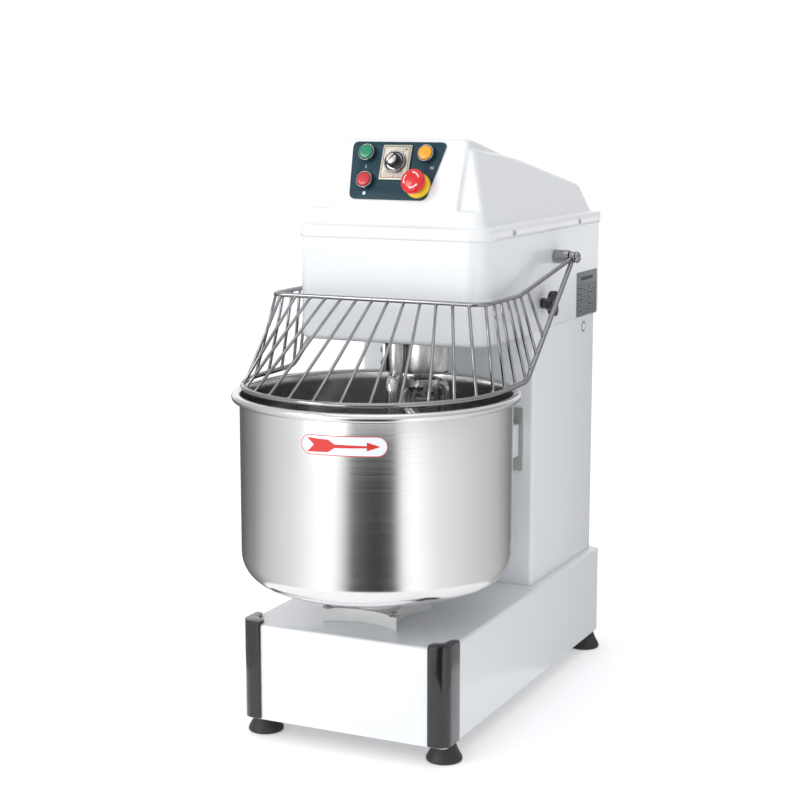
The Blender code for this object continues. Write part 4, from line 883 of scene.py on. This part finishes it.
# ------------------------------------------------------------------ bowl guide
lo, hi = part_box("bowl_guide_plate")
me = slab_me("guide_plate", round_poly([(lo.x, lo.z - ZS), (hi.x, lo.z - ZS), (hi.x, hi.z - ZS), (lo.x, hi.z - ZS)], 0.002, 3), 0, hi.y - lo.y, 0.0004)
me.transform(Matrix.Translation((0, hi.y - YS, 0)) @ Matrix.Rotation(HALF, 4, "X"))
piece("guide_plate", me, M_PLATE, "frame", ["bowl_guide_plate"])
for sx, tag in ((-1, "left"), (1, "right")):
    lo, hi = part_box("bowl_guide_pad_" + tag)
    bm = box_bm((lo.x, lo.y - YS - 0.02, lo.z - ZS), (hi.x, hi.y - YS, hi.z - ZS))
    bevel_if(bm, lambda a, b: True, 0.0022, 3)
    o = scratch(finish_bm(bm, "pad"))
    drill(o, R + 0.0011, 0, BOWL_Y, 0.30, 0.45, 256)
    me = o.data
    bpy.data.objects.remove(o)
    piece("guide_block_" + tag, me, M_NYLON, "frame", ["bowl_guide_pad_" + tag], smooth=40)
    for z in (0.3455, 0.4245):
        piece(f"guide_screw_{tag}_{int(z * 1000)}", SCREW.copy(), M_STEEL, "frame", at=(sx * 0.1150, COL_Y0 - 0.0034, z), rot=Matrix.Rotation(HALF, 4, "X"))

# ------------------------------------------------------------------ wire guard
PY, PZ = 0.428, 0.671
W_UP, W_LOW, R_LOW, ZU, ZL, YU = 0.174, 0.197, 0.197, 0.628, 0.503, 0.098
cor = [(x, y, ZU) for x, y in arc(W_UP - 0.022, YU + 0.022, 0.022, -90, 0, 10)]
u_half = [(0.0, YU, ZU)] + cor + fillet([(W_UP, 0.200, ZU), (W_UP + 0.0002, 0.2385, ZU + 0.0004), (0.1880, PY - 0.0040, PZ - 0.0010)], 0.016, 8)
l_arc = [(x, y, ZL) for x, y in arc(0, BOWL_Y, R_LOW, -90, 0, 40)]
l_half = l_arc + fillet([(W_LOW, 0.160, ZL), (W_LOW, 0.2095, ZL + 0.0008), (0.1880, PY - 0.0034, PZ - 0.0044)], 0.016, 8)


def mirror_path(half):
    return [(-x, y, z) for x, y, z in reversed(half[1:])] + [tuple(p) for p in half]


def walk(path, s):
    q = abs(s)
    pts = [Vector(p) for p in path]
    for a, b in zip(pts, pts[1:]):
        d = (b - a).length
        if q <= d:
            p = a + (b - a) * (q / d)
            return Vector((math.copysign(p.x, s), p.y, p.z))
        q -= d
    return pts[-1]


bm = bmesh.new()
sweep_bm(bm, mirror_path(u_half), 0.0034, 16)
sweep_bm(bm, mirror_path(l_half), 0.0039, 16)
for k in range(-11, 14):
    low, turn = 0.0414 * k - 0.003, 0.4137
    if abs(low) > turn:          # past the bend the feet of the bars close up, then open out again
        low = math.copysign(turn + 0.5 * (abs(low) - turn) + 2.2 * (abs(low) - turn) ** 2, low)
    a, b = walk(u_half, 0.0255 * k - 0.0025), walk(l_half, low)
    d = (b - a).normalized()
    sweep_bm(bm, [a + d * 0.0006, b - d * 0.0004], 0.00235, 12, dome=0.5)
    ball_bm(bm, a + d * 0.0030, 0.0030, (1, 1, 0.9))
    ball_bm(bm, b - d * 0.0036, 0.0033, (1, 1, 0.9))
for sx in (-1, 1):
    me = lathe_me("eye", smooth_prof([(0.0046, 0.0093), (0.0078, 0.0093), (0.0088, 0.0083), (0.0088, 0.0004), (0.0080, 0.0), (0.0046, 0.0)], 0.0006), 32, True)
    me.transform(Matrix.Translation((sx * 0.1834, PY, PZ)) @ (XR if sx > 0 else XL))
    bm.from_mesh(me)
piece("guard_wirework", finish_bm(bm, "guard_wirework"), M_CHROME, "guard", ["bowl_guard"], smooth=50)
for sx, tag in ((-1, "left"), (1, "right")):
    pr = [(0, 0.2004), (0.0030, 0.2002), (0.0062, 0.1990), (0.0084, 0.1970), (0.0093, 0.1950), (0.0092, 0.1937), (0.0040, 0.1936), (0.0040, 0.1826),
          (0.0104, 0.1825), (0.0109, 0.1818), (0.0109, 0.1590), (0.0104, 0.1575), (0.0064, 0.1574), (0.0064, 0.1481), (0, 0.1480)]
    piece("pivot_stud_" + tag, lathe_me("pivot", smooth_prof(pr, 0.0010), 56), M_CHROME, "frame", ["guard_pivot_" + tag], at=(0, PY, PZ), rot=XR if sx > 0 else XL, smooth=50)

# ------------------------------------------------------------------ clamp knob: three rounded lobes on a neck
n, rings = 96, []
bm = bmesh.new()
lay = [(0.78, 0.0101), (0.93, 0.0107), (1.0, 0.0125), (1.0, 0.0205), (0.95, 0.0226), (0.82, 0.0237), (0.50, 0.0239), (0.30, 0.0226)]
for f, z in lay:
    row = []
    for i in range(n):
        a = 2 * math.pi * i / n
        r_ = (0.0165 + 0.0053 * math.cos(3 * a)) * f
        row.append(bm.verts.new((r_ * math.cos(a + 0.5), r_ * math.sin(a + 0.5), z)))
    rings.append(row)
for a, b in zip(rings, rings[1:]):
    for i in range(n):
        bm.faces.new((a[i], a[(i + 1) % n], b[(i + 1) % n], b[i]))
bm.faces.new(rings[-1])
bm.faces.new(list(reversed(rings[0])))
o = scratch(finish_bm(bm, "lobes"))
boolean(o, scratch(lathe_me("neck", smooth_prof([(0, 0.0140), (0.0084, 0.0140), (0.0084, 0.0010), (0.0078, 0.0001), (0.0040, 0.0), (0.0040, -0.0174), (0, -0.0174)], 0.0006), 40)), "UNION")
me = o.data
bpy.data.objects.remove(o)
piece("star_grip", me, M_KNOB, "clamp_knob", ["clamp_knob"], at=(0.1575, 0.372, 0.602), rot=XR, smooth=45)

# ------------------------------------------------------------------ corner guards
for side, tag in ((-1, "left"), (1, "right")):
    t, rr = 0.0034, 0.010
    outer = [(0.165 + t - 0.0318, -t * 0.55)] + [(0.165 + t - 0.0300, -t * 0.9), (0.165 + t - 0.0270, -t)] + arc(0.165 - 0.014, 0.014, 0.014 + t, -90, 0, 14) + [(0.165 + t, 0.0400), (0.165 + t * 0.9, 0.0428), (0.165 + t * 0.5, 0.0438)]
    inner = [(0.165 + 0.0005, 0.0438)] + arc(0.165 - rr, rr, rr + 0.0005, 0, -90, 10) + [(0.165 + t - 0.0318, -0.0005)]
    o = scratch(slab_me("guard", outer + inner, 0.0016, BASE_H + 0.0014))
    lip = [(0.165 + t - 0.0318, -0.0005), (0.165 + t - 0.0300, -t * 0.9), (0.165 + t - 0.0270, -t)] + arc(0.165 - 0.014, 0.014, 0.014 + t, -90, 0, 14) + [(0.165 + t, 0.0400), (0.165 + 0.0005, 0.0438)]
    # the hooked lip has a concave inner edge between two horns
    lip += [(0.165 - 0.0085, 0.0415), (0.165 - 0.0108, 0.0330)] + arc(0.165 - 0.0245, 0.0290, 0.0135, 0, -95, 12)[1:] + [(0.165 - 0.0275, 0.0105)]
    boolean(o, scratch(slab_me("lip", lip, BASE_H + 0.0006, BASE_H + 0.0046)), "UNION")
    b = o.modifiers.new("round", "BEVEL")
    b.width, b.segments, b.limit_method, b.angle_limit = 0.0013, 3, "ANGLE", math.radians(50)
    baked(o)
    me = o.data
    bpy.data.objects.remove(o)
    if side < 0:
        me.transform(Matrix.Diagonal((-1, 1, 1, 1)))
        me.flip_normals()
    piece("corner_shoe_" + tag, me, M_BLACK, "frame", ["corner_guard_" + tag], at=(0, BASE_Y0, 0), smooth=45)

# ------------------------------------------------------------------ feet
for tag in ("front_left", "front_right", "rear_left", "rear_right"):
    lo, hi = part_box("foot_" + tag)
    pr = [(0, -0.0006), (0.0160, -0.0006), (0.0172, -0.0016), (0.0180, -0.0050), (0.0206, -0.0118), (0.0240, -0.0180), (0.0262, -0.0222), (0.0269, -0.0244),
          (0.0266, -0.0264), (0.0256, -0.0276), (0.0236, -0.0280), (0.0130, -0.0280), (0.0118, -0.0262), (0, -0.0262)]
    piece("rubber_foot_" + tag, lathe_me("foot", smooth_prof(pr, 0.0008), 64), M_RUBBER, "frame", ["foot_" + tag],
          at=((lo.x + hi.x) / 2, (lo.y + hi.y) / 2 - YS, 0), smooth=50)

# ------------------------------------------------------------------ rating plate and round sticker, blank but for plain rules
pl = slab_me("rating", round_poly([(0.5330, 0.5612), (0.6318, 0.5612), (0.6318, 0.6350), (0.5330, 0.6350)], 0.0025, 4), 0, 0.0006, 0.0001)
YZ = Matrix(((0, 0, 1, 0), (1, 0, 0, 0), (0, 1, 0, 0), (0, 0, 0, 1)))
pl.transform(Matrix.Translation((HEAD_X, 0, 0)) @ YZ)
piece("rating_plate", pl, M_RATING, "frame")
bm = bmesh.new()


def rule(y0, z0, y1, z1, w=0.00045):
    b = box_bm((HEAD_X + 0.0005, min(y0, y1) - w, min(z0, z1) - w), (HEAD_X + 0.00075, max(y0, y1) + w, max(z0, z1) + w))
    me = bpy.data.meshes.new("r")
    b.to_mesh(me)
    b.free()
    bm.from_mesh(me)


for i in range(6):
    rule(0.5365, 0.5650 + i * 0.0095, 0.6285, 0.5650 + i * 0.0095, 0.00022)
for y in (0.5365, 0.5700, 0.5860, 0.6150, 0.6285):
    rule(y, 0.5650, y, 0.6125, 0.00022)
for i in range(5):
    rule(0.5400, 0.5697 + i * 0.0095, 0.5400 + (0.020, 0.013, 0.024, 0.016, 0.021)[i], 0.5697 + i * 0.0095, 0.0009)
    rule(0.5905, 0.5697 + i * 0.0095, 0.5905 + (0.015, 0.020, 0.012, 0.018, 0.010)[i], 0.5697 + i * 0.0095, 0.0009)
rule(0.5560, 0.6235, 0.6080, 0.6235, 0.0026)
me = bpy.data.meshes.new("rating_rules")
bm.to_mesh(me)
bm.free()
piece("rating_rules", me, M_PANEL, "frame", smooth=None)
st = lathe_me("sticker", [(0, 0.0004), (0.0088, 0.0004), (0.0090, 0.0002), (0.0090, 0.0), (0, 0.0)], 40)
piece("round_sticker", st, M_RATING, "frame", at=(COL_X, 0.590, 0.5400), rot=XR)
st = lathe_me("sticker_in", [(0, 0.0006), (0.0062, 0.0006), (0.0062, 0.0002), (0, 0.0002)], 40)
piece("round_sticker_in", st, M_LABEL, "frame", at=(COL_X, 0.590, 0.5400), rot=XR)

# ------------------------------------------------------------------ carried-over nodes: the drive train inside, and the gland
inner = {"bowl_shaft": M_MACH, "bowl_sprocket": M_MACH, "main_shaft": M_MACH, "main_shaft_lower_sprocket": M_MACH, "main_shaft_upper_sprocket": M_MACH,
         "spindle_shaft": M_MACH, "spindle_sprocket": M_MACH, "lower_chain": M_CHAIN, "upper_chain": M_CHAIN, "gearbox": M_CAST, "motor_housing": M_CAST,
         "motor_fan_cowl": M_CAST, "motor_fan": M_KNOB, "cable_gland": M_KNOB}
for name, mat in inner.items():
    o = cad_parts[name]
    o.data.materials.clear()
    o.data.materials.append(mat)

# ------------------------------------------------------------------ floor, world, lights and camera
AX = (0.0, BOWL_Y + YS)


def polar(t, vector, cx, cy):
    """Compass angle (0 to 1 from -180 to 180 degrees) and distance of a point round a centre."""
    sep_ = add(t, "ShaderNodeSeparateXYZ")
    t.links.new(vector, sep_.inputs["Vector"])
    x = add(t, "ShaderNodeMath", operation="SUBTRACT")
    y = add(t, "ShaderNodeMath", operation="SUBTRACT")
    t.links.new(sep_.outputs["X"], x.inputs[0])
    t.links.new(sep_.outputs["Y"], y.inputs[0])
    x.inputs[1].default_value, y.inputs[1].default_value = cx, cy
    a = add(t, "ShaderNodeMath", operation="ARCTAN2")
    t.links.new(y.outputs[0], a.inputs[0])
    t.links.new(x.outputs[0], a.inputs[1])
    f = add(t, "ShaderNodeMapRange")
    f.inputs["From Min"].default_value, f.inputs["From Max"].default_value = -math.pi, math.pi
    t.links.new(a.outputs[0], f.inputs["Value"])
    c = add(t, "ShaderNodeCombineXYZ")
    t.links.new(x.outputs[0], c.inputs["X"])
    t.links.new(y.outputs[0], c.inputs["Y"])
    d = add(t, "ShaderNodeVectorMath", operation="LENGTH")
    t.links.new(c.outputs["Vector"], d.inputs[0])
    return f.outputs["Result"], d.outputs["Value"]


def card_glow():
    """Bright and dark cards round the machine's foot, as the polished bowl mirrors them."""
    m, t, b = nodes_of("studio_cards")
    ang, dist = polar(t, coords(t), *AX)
    cloth = ramp(t, ang, [(((a + 180) % 360) / 360, (v_, v_, v_ * 1.005)) for a, v_ in
                          [(-180, 0.34), (-166, 0.60), (-150, 0.78), (-132, 0.92), (-112, 1.25), (-100, 1.45), (-92, 1.0), (-83, 0.12), (-64, 0.035), (-51, 0.10), (-44, 1.2),
                           (-36, 1.4), (-17, 1.0), (12, 0.80), (50, 0.58), (79, 0.22), (150, 0.12), (179.5, 0.33)]])
    t.links.new(cloth, b.inputs["Emission Color"])
    b.inputs["Emission Strength"].default_value = 1.0
    b.inputs["Base Color"].default_value = (0, 0, 0, 1)
    b.inputs["Roughness"].default_value = 0.9
    b.inputs["Specular IOR Level"].default_value = 0.0
    return m


me = bpy.data.meshes.new("floor")
me.from_pydata([(-9, -9, 0), (9, -9, 0), (9, 14, 0), (-9, 14, 0)], [], [(0, 1, 2, 3)])
floor = bpy.data.objects.new("floor", me)
bpy.context.scene.collection.objects.link(floor)
WHITE_FLOOR = plastic("studio_floor", (0.94, 0.94, 0.945), 0.8, 0.1, 40.0, 0.0, 0.0, 0.01)
WHITE_FLOOR.node_tree.nodes["Principled BSDF"].inputs["Emission Color"].default_value = (1, 1, 1, 1)
WHITE_FLOOR.node_tree.nodes["Principled BSDF"].inputs["Emission Strength"].default_value = 0.30
me.materials.append(WHITE_FLOOR)
cards = bmesh.new()
cr = [[cards.verts.new((AX[0] + r_ * math.cos(a * math.pi / 36), AX[1] + r_ * math.sin(a * math.pi / 36), z_)) for a in range(72)] for r_, z_ in ((0.42, 0.003), (2.6, 0.003), (3.2, 0.34))]
for a, b in zip(cr, cr[1:]):
    for i in range(72):
        cards.faces.new((a[i], b[i], b[(i + 1) % 72], a[(i + 1) % 72]))
me = bpy.data.meshes.new("cards")
cards.to_mesh(me)
cards.free()
card = bpy.data.objects.new("cards", me)
bpy.context.scene.collection.objects.link(card)
me.materials.append(card_glow())
card.visible_camera = card.visible_diffuse = card.visible_shadow = False

world = bpy.data.worlds.new("studio")
bpy.context.scene.world = world
world.use_nodes = True
wt = world.node_tree
bg = wt.nodes["Background"]
tc = add(wt, "ShaderNodeTexCoord")
sep = add(wt, "ShaderNodeSeparateXYZ")
wt.links.new(tc.outputs["Generated"], sep.inputs["Vector"])
at = add(wt, "ShaderNodeMath", operation="ARCTAN2")
wt.links.new(sep.outputs["Y"], at.inputs[0])
wt.links.new(sep.outputs["X"], at.inputs[1])
fac = add(wt, "ShaderNodeMapRange")
fac.inputs["From Min"].default_value, fac.inputs["From Max"].default_value = -math.pi, math.pi
wt.links.new(at.outputs[0], fac.inputs["Value"])


def deg(a):
    """A compass angle of the studio wall, in degrees from +X towards +Y, as a ramp position."""
    return ((a + 180) % 360) / 360


WALL = [(-180, 0.55), (-150, 0.80), (-112, 1.0), (-60, 0.86), (-30, 0.66), (0, 0.52), (30, 0.44), (60, 0.44), (88, 0.85), (98, 1.06), (136, 1.06), (148, 0.80), (180, 0.55)]
col = ramp(wt, fac.outputs["Result"], [(deg(a), (v, v, v * 1.01)) for a, v in WALL])
elev = add(wt, "ShaderNodeMapRange")
elev.inputs["From Min"].default_value, elev.inputs["From Max"].default_value = 0.30, 0.80
wt.links.new(sep.outputs["Z"], elev.inputs["Value"])
mix = add(wt, "ShaderNodeMix", data_type="RGBA")
wt.links.new(elev.outputs["Result"], mix.inputs["Factor"])
wt.links.new(col, mix.inputs["A"])
mix.inputs["B"].default_value = (0.80, 0.81, 0.83, 1)
wt.links.new(mix.outputs["Result"], bg.inputs["Color"])
bg.inputs["Strength"].default_value = 1.0


def lamp(name, at_, to, size, power, size_y=None, colour=(1, 1, 1)):
    l = bpy.data.lights.new(name, "AREA")
    l.shape, l.size, l.size_y, l.energy, l.color = "RECTANGLE", size, size_y or size, power, colour
    o = bpy.data.objects.new(name, l)
    bpy.context.scene.collection.objects.link(o)
    o.location = at_
    o.rotation_euler = (Vector(to) - Vector(at_)).to_track_quat("-Z", "Y").to_euler()
    return o


lamp("key", (-2.0, -3.2, 2.3), (0, 0, 0.5), 1.4, 30, 1.4)
lamp("front_fill", (-0.9, -3.6, 0.75), (0, -0.1, 0.55), 2.0, 18, 1.0)
lamp("top", (0.2, -0.6, 3.4), (0, 0, 0.3), 2.4, 10, 2.4)

cam = bpy.data.cameras.new("view")
cam.sensor_width, cam.lens = 36.0, 36.0 * 1774.9 / 800.0
cam.clip_end = 60
co = bpy.data.objects.new("view", cam)
bpy.context.scene.collection.objects.link(co)
co.location = (1.1411, -2.2214 + YS, 0.9168 + ZS)
co.rotation_euler = (math.radians(90 - 9.616), 0, math.radians(25.361))
bpy.context.scene.camera = co
bpy.context.scene.view_settings.view_transform = "Standard"
